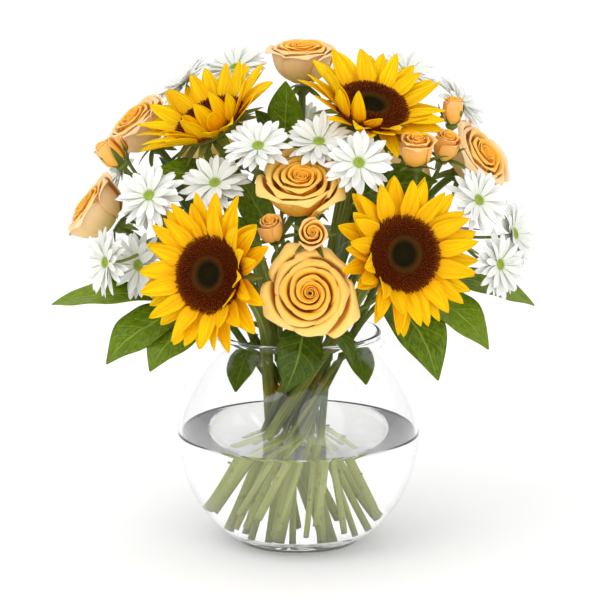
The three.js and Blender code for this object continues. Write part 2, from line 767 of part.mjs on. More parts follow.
function budGreen(stem, extra) {
  const parts = [stemSolid(stem, extra)];
  stem.bloom.buds.forEach((bud) => {
    const direction = facing(bud.face);
    const seat = vector(bud.place).addScaledVector(direction, -1.22 * bud.radius - 3.4);
    const start = stem.end.clone().addScaledVector(stem.direction, -1);
    parts.push(tube(twig(start, seat, direction), BUD.twig + extra, 2, 4), budCalyx(bud, extra));
  });
  return fuse(parts);
}

function daisySpray(stem, extra) {
  const parts = [stemSolid(stem, extra)];
  stem.bloom.heads.forEach((head, i) => {
    const frame = bloomFrame(head.place, head.face);
    const direction = facing(head.face);
    const seat = vector(head.place).addScaledVector(direction, -1);
    const start = stem.end.clone().addScaledVector(stem.direction, -1);
    parts.push(tube(twig(start, seat, direction), DAISY.twig + extra, 2, 3));
    parts.push(rayHead([{
      rays: DAISY.petals, notch: DAISY.notch, reach: DAISY.reach, width: DAISY.width, thick: DAISY.thick,
      outline: BLUNT, unrest: 16, seed: 3 + i, phase: 0.3 * i, height: 0, lift: () => 10,
    }], DAISY.eye, DAISY.eye, extra, frame));
  });
  return fuse(parts);
}

function foliageSprig(stem, extra) {
  const { route, leaves } = stem.bloom;
  const [mid, end] = [vector(route[0]), vector(route[1])];
  const direction = end.clone().sub(mid).normalize();
  const parts = [stemSolid(stem, extra)];
  const start = mid.clone().addScaledVector(direction, -2);
  parts.push(tube(new THREE.LineCurve3(start, end), 0.8 * stem.radius + extra, 1, 5));
  leaves.forEach((shape) => {
    parts.push(leaf(start.clone().lerp(end, shape.at), shape, extra));
  });
  return fuse(parts);
}

// ---- The bouquet ----

function stemFor(kind, bloom, toward, end, direction) {
  const sides = kind === 'sunflower' ? 6 : 5;
  return { kind, bloom, toward, end, direction, radius: STEM_RADIUS[kind], sides };
}

function bloomStem(kind, bloom, neck) {
  const direction = facing(bloom.face);
  return stemFor(kind, bloom, bloom.place, vector(bloom.place).addScaledVector(direction, -neck), direction);
}

function forkStem(kind, bloom, fork) {
  const end = vector(fork);
  const direction = new THREE.Vector3(fork[0], fork[1], fork[2] - BUNDLE.waist).normalize();
  return stemFor(kind, bloom, fork, end, direction);
}

const stems = [
  ...SUNFLOWERS.map((bloom) => bloomStem('sunflower', bloom, SUNFLOWER.neck)),
  ...ROSES.map((bloom) => bloomStem('rose', bloom, ROSE.neck * bloom.size)),
  ...BUD_SPRAYS.map((bloom) => forkStem('bud', bloom, bloom.fork)),
  ...DAISY_SPRAYS.map((bloom) => forkStem('daisy', bloom, bloom.fork)),
  ...SPRIGS.map((bloom) => forkStem('foliage', bloom, bloom.route[0])),
];
assignSlots(stems);

const GREEN_OF = {
  sunflower: sunflowerGreen, rose: roseGreen, bud: budGreen, daisy: daisySpray, foliage: foliageSprig,
};

const COLOURS = {
  glass: [0xdfe8e6, 0.05], water: [0xd5e2df, 0.05], stem: [0x5f7a33, 0.6], leaf: [0x3c6420, 0.45],
  ray: [0xf2b512, 0.6], disc: [0x3a140c, 0.9], rose: [0xf3b560, 0.6], bud: [0xeda55a, 0.6],
  daisy: [0xf3f2ec, 0.6],
};

// Solids in the order in which they keep their shape: where two would cross, the later one gives way.
function bouquetPieces() {
  const pieces = [];
  const add = (name, colour, make) => pieces.push({ name, colour, make });
  add('vase', 'glass', () => vase());
  add('water', 'water', () => water(stems));
  SUNFLOWERS.forEach((flower) => add(`${flower.name}_disc`, 'disc', (extra) => sunflowerDisc(flower, extra)));
  stems.filter(({ kind }) => kind === 'sunflower' || kind === 'rose' || kind === 'bud').forEach((stem) => {
    const name = `${stem.bloom.name}_stem`;
    add(name, 'stem', (extra) => GREEN_OF[stem.kind](stem, extra));
  });
  SUNFLOWERS.forEach((flower) => add(`${flower.name}_rays`, 'ray', (extra) => sunflowerRays(flower, extra)));
  ROSES.forEach((rose) => add(`${rose.name}_bloom`, 'rose', (extra) => roseBloom(rose, extra)));
  BUD_SPRAYS.forEach((spray) => spray.buds.forEach((bud, i) => {
    add(`${spray.name}_bud_${i + 1}`, 'bud', (extra) => budBloom(bud, extra));
  }));
  stems.filter(({ kind }) => kind === 'daisy').forEach((stem) => {
    add(stem.bloom.name, 'daisy', (extra) => daisySpray(stem, extra));
  });
  stems.filter(({ kind }) => kind === 'foliage').forEach((stem) => {
    add(stem.bloom.name, 'leaf', (extra) => foliageSprig(stem, extra));
  });
  return pieces;
}

function boxesMeet(a, b) {
  const [p, q] = [a.boundingBox(), b.boundingBox()];
  return [0, 1, 2].every((i) => p.min[i] < q.max[i] && q.min[i] < p.max[i]);
}

function makeRoom(pieces) {
  pieces.forEach((piece, i) => {
    piece.solid = piece.make(0);
    if (piece.name === 'vase' || piece.name === 'water') return;
    pieces.slice(2, i).forEach((earlier) => {
      if (!boxesMeet(piece.solid, earlier.solid)) return;
      if (piece.solid.intersect(earlier.solid).volume() === 0) return;
      piece.solid = largestBody(piece.solid.subtract(earlier.make(GAP)));
    });
  });
}

function meshOf({ name, colour, solid }) {
  const { vertProperties, triVerts } = solid.getMesh();
  const geometry = new THREE.BufferGeometry();
  geometry.setAttribute('position', new THREE.Float32BufferAttribute(vertProperties, 3));
  geometry.setIndex(Array.from(triVerts));
  const [color, roughness] = COLOURS[colour];
  const mesh = new THREE.Mesh(geometry, new THREE.MeshStandardMaterial({ color, roughness, metalness: 0 }));
  mesh.name = name;
  return mesh;
}

const bouquet = new THREE.Group();
const pieces = bouquetPieces();
makeRoom(pieces);
pieces.forEach((piece) => bouquet.add(meshOf(piece)));

export default bouquet;
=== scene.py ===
# %% [markdown]
# # Sunflowers, roses and daisies in a glass globe
#
# A florist gathers a mixed bouquet, cuts the stems and stands them in a round glass vase, half full of
# water. The solids that we start from have the right sizes and places, but only a few flat faces each. In
# this lesson every solid is replaced by finer pieces that keep its form: grooved petals, tight spirals of
# florets, veined leaves and clear glass. All sizes are in millimetres, with +Z up and the front of the
# bouquet towards -Y.

# %% Load the solid model
import math

import bpy
import numpy as np
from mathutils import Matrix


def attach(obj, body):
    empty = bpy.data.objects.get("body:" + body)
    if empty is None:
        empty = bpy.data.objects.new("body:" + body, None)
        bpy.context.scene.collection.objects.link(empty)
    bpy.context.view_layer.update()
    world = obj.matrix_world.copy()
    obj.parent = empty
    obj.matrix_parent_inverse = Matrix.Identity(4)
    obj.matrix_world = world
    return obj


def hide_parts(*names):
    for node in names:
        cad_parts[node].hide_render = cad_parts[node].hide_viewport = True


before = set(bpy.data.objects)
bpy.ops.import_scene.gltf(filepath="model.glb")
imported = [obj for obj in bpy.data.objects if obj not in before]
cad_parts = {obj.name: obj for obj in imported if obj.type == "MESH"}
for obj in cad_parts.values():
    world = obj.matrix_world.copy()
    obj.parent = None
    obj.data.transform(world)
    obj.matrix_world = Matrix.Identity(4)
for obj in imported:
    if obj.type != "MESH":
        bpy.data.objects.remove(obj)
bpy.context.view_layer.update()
MILLIMETRE = 0.001
print("solids:", len(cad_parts))

# %% [markdown]
# ## The camera first
#
# Every later choice is judged through the camera, so it comes first. The photograph was taken from straight
# ahead with a long lens, a little above the flowers and tipped down. A long lens far away keeps the globe
# round.

# %% Camera
CAMERA_PLACE = np.array([1.25, -1800, 575.6])
CAMERA_TIP, LENS, SENSOR_WIDTH = 11.7, 134.5, 36
camera = bpy.data.objects.new("camera", bpy.data.cameras.new("camera"))
camera.location = CAMERA_PLACE * MILLIMETRE
camera.rotation_euler = (math.radians(90 - CAMERA_TIP), 0, 0)
camera.data.lens, camera.data.sensor_width = LENS, SENSOR_WIDTH
bpy.context.scene.collection.objects.link(camera)
bpy.context.scene.camera = camera
print("camera tips down", CAMERA_TIP, "degrees")

# %% [markdown]
# ## Shapes as arrays
#
# A petal could be modelled by hand and copied, but then all petals would be alike. Here each kind of petal
# is a formula of two numbers: v says how far along it a point lies, from 0 to 1, and u how far across, from
# -1 to 1. numpy works the formula out for a whole ring of petals at once. A shape is three things: its
# points, its faces, and for each point a `growth` vector (across, along, chance), which the materials read
# later to paint stripes and veins.

# %% Grids and joining
def grid_lines(rows, columns):
    """v, which runs from 0 to 1 over the rows of a grid, and u, which runs from -1 to 1 over its columns."""
    return np.linspace(0, 1, rows)[:, None], np.linspace(-1, 1, columns)[None, :]


def triples(first, second, third):
    """Points or growth vectors from three arrays or numbers, each spread over the others."""
    return np.stack(np.broadcast_arrays(first, second, third), axis=-1)


def grid_faces(rows, columns, closed=False):
    """Quads between the points of a grid, stored row by row; closed joins its last column to its first."""
    row = np.arange(rows - 1)[:, None] * columns
    column = np.arange(columns if closed else columns - 1)[None, :]
    right = (column + 1) % columns
    corners = [row + column, row + right, row + columns + right, row + columns + column]
    return np.stack(corners, axis=-1).reshape(-1, 4)


def copies_of(faces, count, points_each):
    """The same faces for each of count copies, whose points follow each other."""
    return (np.arange(count)[:, None, None] * points_each + faces).reshape(-1, faces.shape[1])


def join(shapes):
    """One shape from several: the points follow each other, so each shape's face numbers move along."""
    starts = np.cumsum([0] + [len(points) for points, _, _ in shapes[:-1]])
    points = np.concatenate([points for points, _, _ in shapes])
    growth = np.concatenate([growth for _, _, growth in shapes])
    faces = [block + start for (_, blocks, _), start in zip(shapes, starts) for block in blocks]
    return points, faces, growth


def unit(vectors):
    """The same directions with length 1."""
    return vectors / np.linalg.norm(vectors, axis=-1, keepdims=True)


def smooth(low, high, x):
    """0 below low, 1 above high, with a soft S between."""
    t = np.clip((x - low) / (high - low), 0, 1)
    return t * t * (3 - 2 * t)


print("quads between 3 x 4 points:", len(grid_faces(3, 4)))

# %% [markdown]
# ## From a shape to a piece
#
# Blender keeps points and faces in a mesh, and an object puts the mesh into the scene. Every object stays
# at the origin, with its place in its points, as the solids have theirs.

# %% Pieces
def new_object(name, points, faces, finish):
    """A smooth mesh object in the scene, from points in millimetres."""
    mesh = bpy.data.meshes.new(name)
    corners = [face for block in faces for face in block.tolist()]
    mesh.from_pydata((points * MILLIMETRE).tolist(), [], corners)
    mesh.polygons.foreach_set("use_smooth", np.ones(len(mesh.polygons), bool))
    mesh.materials.append(finish)
    made = bpy.data.objects.new(name, mesh)
    bpy.context.scene.collection.objects.link(made)
    return made


def make_piece(name, shape, finish, node, thick=0):
    """An object that stands for one solid or a part of it; thick gives a sheet of petals its body."""
    points, faces, growth = shape
    piece = new_object(name, points, faces, finish)
    stored = piece.data.attributes.new("growth", "FLOAT_VECTOR", "POINT")
    stored.data.foreach_set("vector", growth.astype("f4").ravel())
    if thick:
        body = piece.modifiers.new("body", "SOLIDIFY")
        body.thickness = thick * MILLIMETRE
        body.offset = 0
    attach(piece, "root")
    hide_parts(node)
    return piece


print("pieces are made at 1 mm =", MILLIMETRE, "m")

# %% [markdown]
# ## One frame for each bloom
#
# A bloom is easiest to build lying flat, facing +Z at the origin. Three directions then carry it to its
# place: to its side, up, and the way it faces. Azimuth 0 faces the front and a positive one turns to the
# right.

# %% Bloom frames
def facing(face):
    """The direction of an azimuth and an elevation in degrees."""
    azimuth, elevation = np.radians(face)
    level = np.cos(elevation)
    return np.array([level * np.sin(azimuth), -level * np.cos(azimuth), np.sin(elevation)])


def planted(shape, place, face, size=1):
    """A bloom's shape, scaled and carried from the origin to its place, with +Z turned to where it faces."""
    points, faces, growth = shape
    forward = facing(face)
    side = unit(np.cross([0, 0, 1], forward))
    axes = np.stack([side, np.cross(forward, side), forward])
    return points * size @ axes + np.array(place), faces, growth


print("front and level:", facing([0, 0]).round(2))

# %% [markdown]
# ## Chance
#
# No two petals are alike, so most sizes and angles get a random share. Every kind of piece has its own run
# of random numbers, which is the same each time. So a change to one kind leaves all the others as they
# were.

# %% Random numbers
SEEDS = {
    "rays": 20, "disc": 40, "sunflower_stem": 60, "bracts": 80, "rose": 100, "rose_stem": 120, "calyx": 140,
    "bud_stem": 160, "bud_calyx": 180, "bud": 200, "daisy_stem": 220, "daisy": 240, "eye": 320, "sprig": 400,
}


def chance_of(kind, number):
    """The random numbers of one piece of a kind."""
    return np.random.default_rng(SEEDS[kind] + number)


def wobble(generator, count, amount):
    """Random numbers round 0, one per petal."""
    return generator.uniform(-amount, amount, count)


def petal_angles(generator, count, amount, phase=0):
    """Even angles round an axis, all moved on by phase steps and each moved at random by part of a step."""
    return 2 * np.pi * (np.arange(count) + phase + wobble(generator, count, amount)) / count


print("kinds with random numbers of their own:", len(SEEDS))

# %% [markdown]
# ## The blade, mother of all narrow petals
#
# Rays, daisy petals, bracts and sepals are one thing: a strip that leaves the flower's axis at some
# distance, rises at some tilt, and bends as it goes. The middle line is the running sum of small steps in
# the direction of the tilt. Across it, the strip is cupped, pleated and a little twisted.

# %% Blades
def running_sum(slopes, step):
    """Distance gone along each row when every step follows the mean of two neighbouring slopes."""
    halves = (slopes[:, 1:] + slopes[:, :-1]) / 2 * step
    return np.concatenate([np.zeros_like(halves[:, :1]), np.cumsum(halves, axis=1)], axis=1)


def spread(value, count):
    """A number, or one number per blade, as an array that a grid of points can use."""
    return np.broadcast_to(np.asarray(value, float), (count,))[:, None, None]


def blades(azimuth, start, height, length, half, tilt, outline, *, curl, twist, chance, sway=0, cup=0,
           pleat=0, rows=13, columns=7):
    """Strips round an axis. At v along the middle line the tilt is tilt + curl v^1.5, and the half width is
    half x outline(v). At u across, the surface rises by cup u^2 of the half width and by pleats cos(3 pi u).
    Towards the tip the strip moves sideways by sway. Tilt, curl and twist are in degrees."""
    count = len(azimuth)
    around, start, height, length, half, tilt, curl, twist, sway, cup, chance = (
        spread(value, count)
        for value in (azimuth, start, height, length, half, tilt, curl, twist, sway, cup, chance))
    v, u = grid_lines(rows, columns)
    slope = np.radians(tilt + curl * v ** 1.5)
    step = length / (rows - 1)
    reach = start + running_sum(np.cos(slope), step)
    rise = height + running_sum(np.sin(slope), step)
    width = half * outline(v)
    turn = np.radians(twist) * v
    across = u * width * np.cos(turn) + sway * v * v
    pleats = pleat * np.cos(3 * np.pi * u) * (width / half)
    raised = u * width * np.sin(turn) + cup * width * u * u + pleats
    radius = reach - raised * np.sin(slope)
    x = radius * np.cos(around) - across * np.sin(around)
    y = radius * np.sin(around) + across * np.cos(around)
    z = rise + raised * np.cos(slope)
    faces = copies_of(grid_faces(rows, columns), count, rows * columns)
    return triples(x, y, z).reshape(-1, 3), [faces], triples(u, v, chance).reshape(-1, 3)


def ray_outline(v):
    """A sunflower ray: narrow at its foot, widest at a third, then drawn out to a point."""
    return 0.03 + np.minimum(1, 0.42 + 1.9 * v) * (1 - v ** 2.6) ** 0.8


def petal_outline(v):
    """A daisy petal: slender, widest beyond the middle, with a short point."""
    return 0.04 + (0.42 + 0.58 * smooth(0, 0.6, v)) * (1 - v ** 5) ** 0.75


def sepal_outline(v):
    """A sepal or bract: broad at its foot and long pointed."""
    return 0.03 + (1 - v) ** 0.75 * (0.85 + 0.6 * v)


halfway = [round(float(outline(0.5)), 2) for outline in (ray_outline, petal_outline, sepal_outline)]
print("share of the width half way along a ray, a petal and a sepal:", halfway)

# %% [markdown]
# ## Paths and tubes
#
# Stems are round tubes carried along a smooth path. At each point of the path a ring of points stands
# square to it, turned by a helper direction that no part of the path runs along. Hips, eyes and the vase
# itself are profiles turned round an axis. Both are rings that follow each other, closed by a fan at each
# end.

# %% Paths, tubes and turned shapes
def bezier(a, b, c, d, t):
    """The point at the share t of a curve from a to d, which sets out towards b and arrives from c."""
    return (1 - t) ** 3 * a + 3 * (1 - t) ** 2 * t * b + 3 * (1 - t) * t * t * c + t ** 3 * d


def path_frame(path):
    """At each point of a path: its direction, and two directions square to it."""
    along = unit(np.gradient(path, axis=0))
    helper = np.cross(along[0], along[-1])
    if np.linalg.norm(helper) < 0.05:
        helper = np.eye(3)[np.argmin(np.abs(path[-1] - path[0]))]
    side = unit(np.cross(along, helper))
    return along, side, np.cross(along, side)


def ring_round(side, up, sides):
    """The angles of a ring, and the direction of each of its points, for each pair of side and up."""
    angle = np.linspace(0, 2 * np.pi, sides, endpoint=False)
    return angle, np.cos(angle)[:, None] * side[:, None] + np.sin(angle)[:, None] * up[:, None]


def fan(centre, first, sides, up=True):
    """Triangles from a centre point to the ring that starts at the point first, seen from above or below."""
    around = np.arange(sides)
    pair = [first + around, first + (around + 1) % sides]
    return np.stack([np.full(sides, centre)] + (pair if up else pair[::-1]), axis=1)


def closed_rings(rows, sides):
    """Faces of rings that follow each other, and of the fans to the two centre points that come last."""
    low = fan(rows * sides, 0, sides, up=False)
    return [grid_faces(rows, sides, closed=True), low, fan(rows * sides + 1, (rows - 1) * sides, sides)]


def tube(path, radius, sides, chance):
    """Rings of points square to a path. Growth holds the angle, and the length in units of 100 mm."""
    _, side, up = path_frame(path)
    angle, ring = ring_round(side, up, sides)
    gone = np.concatenate([[0], np.cumsum(np.linalg.norm(np.diff(path, axis=0), axis=1))]) / 100
    growth = triples(angle / np.pi - 1, gone[:, None], chance).reshape(-1, 3)
    points = np.concatenate([(path[:, None] + ring * radius).reshape(-1, 3), path[:1], path[-1:]])
    return points, closed_rings(len(path), sides), np.concatenate([growth, growth[:1], growth[-1:]])


def turned(profile, sides):
    """A profile of (radius, height) points from the axis to the axis, turned round it once. Growth holds the
    height in units of 100 mm."""
    profile = np.asarray(profile, float)
    angle = np.linspace(0, 2 * np.pi, sides, endpoint=False)
    radius, height = profile[1:-1, :1], profile[1:-1, 1:]
    wall = triples(radius * np.cos(angle), radius * np.sin(angle), height).reshape(-1, 3)
    points = np.concatenate([wall, [[0, 0, profile[0, 1]], [0, 0, profile[-1, 1]]]])
    return points, closed_rings(len(profile) - 2, sides), triples(0, points[:, 2] / 100, 0.5)


print("faces of a tube with 3 rings of 6:", sum(len(block) for block in closed_rings(3, 6)))

# %% [markdown]
# ## Materials as arithmetic
#
# Petals and leaves have fine patterns that no single colour gives: grooves, veins, a blush at the base.
# They are written as sums and products of the growth vector. A small class lets Python's + and * add the
# Math nodes.

# %% Values
class Value:
    """A number that varies over a surface. Arithmetic on it adds Math nodes to its material."""

    def __init__(self, finish, socket):
        self.finish, self.socket = finish, socket

    def math(self, operation, first, second=0.0):
        """The value of a Math node."""
        return self.finish.node("Math", {"operation": operation}, {0: first, 1: second})

    def __add__(self, other):
        return self.math("ADD", self, other)

    def __sub__(self, other):
        return self.math("SUBTRACT", self, other)

    def __rsub__(self, other):
        return self.math("SUBTRACT", other, self)

    def __mul__(self, other):
        return self.math("MULTIPLY", self, other)

    def __abs__(self):
        return self.math("ABSOLUTE", self)

    __radd__, __rmul__ = __add__, __mul__

    def sine(self):
        return self.math("SINE", self)

    def between(self, low, high):
        """0 at low and 1 at high, with a soft S between and nothing beyond."""
        settings = {"interpolation_type": "SMOOTHSTEP", "clamp": True}
        return self.finish.node("MapRange", settings, {0: self, 1: low, 2: high})


print("Value is ready")

# %% [markdown]
# A finish is one material round one Principled shader. Its node method adds any other node from the node's
# type, its settings and what its sockets get: a number, a colour or another value.

# %% Finishes
class Finish:
    """A material round one Principled shader. node() adds any other node."""

    def __init__(self, name, constants):
        self.material = bpy.data.materials.new(name)
        self.material.use_nodes = True
        self.tree = self.material.node_tree
        self.shader = self.tree.nodes["Principled BSDF"]
        self.put(self.shader, constants)

    def put(self, node, values):
        """Links the sockets that get a Value, and sets the others to their number or colour."""
        for key, value in values.items():
            if isinstance(value, Value):
                self.tree.links.new(value.socket, node.inputs[key])
            else:
                node.inputs[key].default_value = value

    def node(self, kind, settings, values, out=0):
        """The output number out of a new node. The stops of a ramp count as one of its settings."""
        node = self.tree.nodes.new("ShaderNode" + kind)
        for key, value in settings.items():
            if key == "stops":
                stops = node.color_ramp.elements
                for _ in value[2:]:
                    stops.new(0.5)
                for stop, (place, colour) in zip(stops, value):
                    stop.position = place
                    stop.color = (*colour, 1)
            else:
                setattr(node, key, value)
        self.put(node, values)
        return Value(self, node.outputs[out])

    def ramp(self, value, stops):
        """A colour that runs through the stops, each a value and its colour."""
        return self.node("ValToRGB", {"stops": stops}, {0: value})

    def blend(self, share, first, second):
        """The first colour where share is 0, and the second where it is 1."""
        first, second = (colour if isinstance(colour, Value) else (*colour, 1) for colour in (first, second))
        return self.node("Mix", {"data_type": "RGBA"}, {0: share, 6: first, 7: second}, out=2)

    def growth(self):
        """The three parts of the growth vector."""
        vector = self.node("Attribute", {"attribute_name": "growth"}, {}, out=1)
        return [self.node("SeparateXYZ", {}, {0: vector}, out=axis) for axis in range(3)]

    def place(self):
        """The Object coordinates, in metres."""
        return self.node("TexCoord", {}, {}, out=3)

    def vector(self, x, y, z):
        """One vector from three values."""
        return self.node("CombineXYZ", {}, {0: x, 1: y, 2: z})

    def noise(self, vector, scale, detail=2.0):
        """Soft noise between 0 and 1 with blobs about 1 / scale wide."""
        return self.node("TexNoise", {}, {"Vector": vector, "Scale": scale, "Detail": detail})

    def show(self, colour, height, depth):
        """Gives the shader its colour, and a bump whose whole height is depth millimetres."""
        bump = self.node("Bump", {}, {"Height": height, "Distance": depth * MILLIMETRE, "Strength": 1.0})
        self.put(self.shader, {"Base Color": colour, "Normal": bump})
        return self.material


def living_finish(name, roughness, shine, through, colours, depth=2.0):
    """A matt finish that lets a share of the light in, depth millimetres deep, by a share for each of red,
    green and blue."""
    return Finish(name, {
        "Roughness": roughness, "Specular IOR Level": shine, "Subsurface Weight": through,
        "Subsurface Radius": colours, "Subsurface Scale": depth * MILLIMETRE,
    })


print("materials before the first finish:", len(bpy.data.materials))

# %% [markdown]
# ## Colours of the blooms
#
# A sunflower ray is golden, deep orange at its foot, with fine grooves along it. Light shines through
# petals, so they get a little subsurface scattering. The grooves are noise that is stretched along the
# petal.

# %% Petal finishes
def petal_grooves(finish, grooves, across, along, chance):
    """Noise that changes fast across a petal and slowly along it, different on every petal."""
    return finish.noise(finish.vector(across * grooves, along * 0.7, chance * 40.0), 1.0, 3.0)


def ray_finish(name, low, middle, tip):
    """Orange at the foot, then three colours from low on the ray to its tip, with darker streaks."""
    finish = living_finish(name, 0.6, 0.08, 0.15, (1.0, 0.6, 0.05))
    across, along, chance = finish.growth()
    groove = petal_grooves(finish, 5.0, across, along, chance)
    gold = finish.ramp(along + (groove - 0.5) * 0.35, [
        (0.0, (0.76, 0.24, 0.001)), (0.2, low), (0.45, middle), (1.0, tip),
    ])
    streak = (groove.between(0.35, 0.6) * 0.45) + (abs(across) * -0.12 + 0.1)
    colour = finish.blend(streak, (0.86, 0.40, 0.001), gold)
    colour = finish.blend(groove.between(0.42, 0.72) * 0.75 + chance * 0.2, colour, gold)
    return finish.show(colour, groove, 0.9)


def rose_finish(name, share, foot, outside, rim):
    """An orange heart in paler outer petals. The guard petals, furthest out, are coloured from foot to rim,
    and share says how strongly."""
    finish = living_finish(name, 0.55, 0.05, 0.2, (1.0, 0.6, 0.3), 1.5)
    across, along, ring = finish.growth()
    vein = petal_grooves(finish, 9.0, across, along, ring)
    heart = finish.ramp(along, [
        (0.0, (0.98, 0.34, 0.006)), (0.6, (0.98, 0.30, 0.003)), (0.85, (0.98, 0.36, 0.008)),
        (1.0, (0.98, 0.54, 0.06)),
    ])
    outer = finish.ramp(along, [
        (0.0, (0.98, 0.46, 0.02)), (0.5, (0.98, 0.38, 0.008)), (0.8, (0.98, 0.48, 0.03)),
        (1.0, (0.99, 0.69, 0.22)),
    ])
    colour = finish.blend(ring.between(0.1, 0.65), heart, outer)
    guard = finish.ramp(along, [(0.0, foot), (0.5, outside), (1.0, rim)])
    colour = finish.blend(ring.between(0.55, 0.95) * share, colour, guard)
    blush = (along.between(0.8, 1.0) * abs(across)) * 0.25
    colour = finish.blend(blush, colour, (0.92, 0.42, 0.12))
    colour = finish.blend(vein.between(0.3, 0.8) * 0.12, colour, (0.88, 0.34, 0.02))
    return finish.show(colour, vein, 0.12)


def daisy_finish(name):
    """White, with green at the foot, and faint grey painted shade in its grooves."""
    finish = living_finish(name, 0.6, 0.1, 0.2, (0.8, 0.8, 0.8))
    across, along, chance = finish.growth()
    groove = petal_grooves(finish, 4.0, across, along, chance)
    white = finish.ramp(along, [
        (0.0, (0.50, 0.58, 0.22)), (0.16, (0.80, 0.82, 0.72)), (1.0, (0.91, 0.91, 0.89)),
    ])
    # Painted shade: the grooves are tinted a faint grey.
    colour = finish.blend(groove.between(0.3, 0.7) * 0.18, white, (0.64, 0.66, 0.66))
    return finish.show(colour, groove, 0.35)


PETAL_FINISHES = [
    ray_finish("sunflower_ray", (0.92, 0.43, 0.001), (0.95, 0.60, 0.001), (0.96, 0.68, 0.002)),
    # A paler copy of the ray finish: painted light for the blooms that look up.
    ray_finish("sunflower_ray_painted_light", (0.94, 0.52, 0.001), (0.97, 0.69, 0.001), (0.98, 0.76, 0.002)),
    rose_finish("rose_golden", 0.8, (0.92, 0.42, 0.02), (0.98, 0.56, 0.08), (0.99, 0.72, 0.27)),
    rose_finish("rose_peach", 1.0, (0.94, 0.66, 0.18), (0.99, 0.66, 0.34), (0.99, 0.70, 0.42)),
    rose_finish("bud_petal", 0.8, (0.92, 0.50, 0.06), (0.97, 0.50, 0.14), (0.98, 0.58, 0.26)),
    daisy_finish("daisy_petal"),
]
RAY_GOLD, RAY_PAINTED_LIGHT, ROSE_GOLDEN, ROSE_PEACH, BUD_PEACH, DAISY_WHITE = PETAL_FINISHES
print("petal finishes:", *(material.name for material in PETAL_FINISHES))

# %% [markdown]
# ## Discs and eyes
#
# The sunflower's disc is a spiral of small florets: nearly black with a hint of green in the middle, where
# they are still closed, and maroon further out, where they are open. The distance from the centre is stored
# in the growth vector, and a ramp turns it into colour.

# %% Floret finishes
def disc_finish(name):
    """Nearly black to maroon from the middle out, with the tips of the florets lighter than their feet."""
    finish = Finish(name, {"Roughness": 0.9, "Specular IOR Level": 0.04})
    distance, along, chance = finish.growth()
    dark = finish.ramp(distance, [
        (0.0, (0.022, 0.016, 0.005)), (0.3, (0.014, 0.010, 0.004)), (0.44, (0.110, 0.045, 0.008)),
        (0.54, (0.080, 0.012, 0.003)), (0.8, (0.120, 0.017, 0.003)), (1.0, (0.220, 0.050, 0.004)),
    ])
    tip = finish.blend(distance.between(0.3, 0.6), (0.050, 0.040, 0.010), (0.300, 0.080, 0.010))
    lit = along.between(0.45, 1.0) * (chance * 0.8 + 0.1)
    return finish.show(finish.blend(lit, dark, tip), finish.noise(finish.place(), 900.0), 0.3)


def eye_finish(name):
    """Green that gets yellower towards the petals, a little different on every floret."""
    finish = Finish(name, {"Roughness": 0.6, "Specular IOR Level": 0.2})
    distance, _, chance = finish.growth()
    green = finish.ramp(distance, [
        (0.0, (0.20, 0.34, 0.03)), (0.6, (0.36, 0.50, 0.05)), (1.0, (0.52, 0.60, 0.12)),
    ])
    colour = finish.blend(chance * 0.35, green, (0.60, 0.62, 0.14))
    return finish.show(colour, finish.noise(finish.place(), 1200.0), 0.2)


DISC_DARK = disc_finish("sunflower_disc")
EYE_GREEN = eye_finish("daisy_eye")
print("floret finishes:", DISC_DARK.name, EYE_GREEN.name)

# %% [markdown]
# ## Greens
#
# Stems are streaked along their length. Under water they are painted a pale yellow, as painted light for
# the light that reaches them through the glass and the water. A leaf is darker and glossier: a pale
# midrib runs down its middle, and side veins leave it at a slant. A sine of (along - across) draws them,
# and the same pattern feeds the bump.

# %% Green finishes
# A stem is painted pale up to the first height, as painted light under water, and green from the second one
# on.
PAINTED_LIGHT_BELOW, PLAIN_GREEN_ABOVE = 75, 105


def stem_finish(name, dark, pale):
    """Two greens in streaks, a pale yellow painted light under water, and a few brown flecks."""
    finish = living_finish(name, 0.55, 0.2, 0.05, (1.0, 0.2, 0.1))
    around, along, chance = finish.growth()
    swirl = finish.vector((around * math.pi).sine() * 3.0, along * 1.2, chance * 30.0)
    streak = finish.noise(swirl, 1.6, 3.0)
    fresh = finish.blend(streak.between(0.3, 0.7), dark, pale)
    height = finish.node("SeparateXYZ", {}, {0: finish.place()}, out=2)
    plain_green_share = height.between(PAINTED_LIGHT_BELOW * MILLIMETRE, PLAIN_GREEN_ABOVE * MILLIMETRE)
    # Painted light: under water the streaks turn a pale yellow, for the light that reaches the stems there.
    colour = finish.blend(plain_green_share, finish.blend(streak, (0.50, 0.58, 0.08), (0.90, 0.94, 0.40)), fresh)
    fleck = finish.noise(finish.place(), 220.0)
    colour = finish.blend(fleck.between(0.58, 0.75) * 0.35, colour, (0.16, 0.11, 0.03))
    return finish.show(colour, streak, 0.25)


def leaf_finish(name, dark, pale, rib):
    """Two greens in a fine net, with the midrib and the side veins in the colour rib."""
    finish = living_finish(name, 0.42, 0.22, 0.06, (0.4, 1.0, 0.2))
    across, along, chance = finish.growth()
    side = abs(across)
    midrib = 1.0 - side.between(0.02, 0.075)
    slant = (along - side * 0.22) * 52.0
    vein = (slant.sine() * 0.5 + 0.5).between(0.86, 1.0) * (1.0 - side.between(0.75, 0.98)) * 0.7
    net = finish.noise(finish.vector(across * 3.0, along * 7.0, chance * 25.0), 3.0, 4.0)
    colour = finish.blend(net.between(0.3, 0.75) * 0.6 + chance * 0.4, dark, pale)
    colour = finish.blend(vein * 0.3, colour, rib)
    colour = finish.blend(midrib * 0.8, colour, rib)
    finish.put(finish.shader, {"Roughness": net * 0.2 + 0.32})
    return finish.show(colour, net * 0.3 - vein * 0.6 - midrib * 1.0, 0.5)


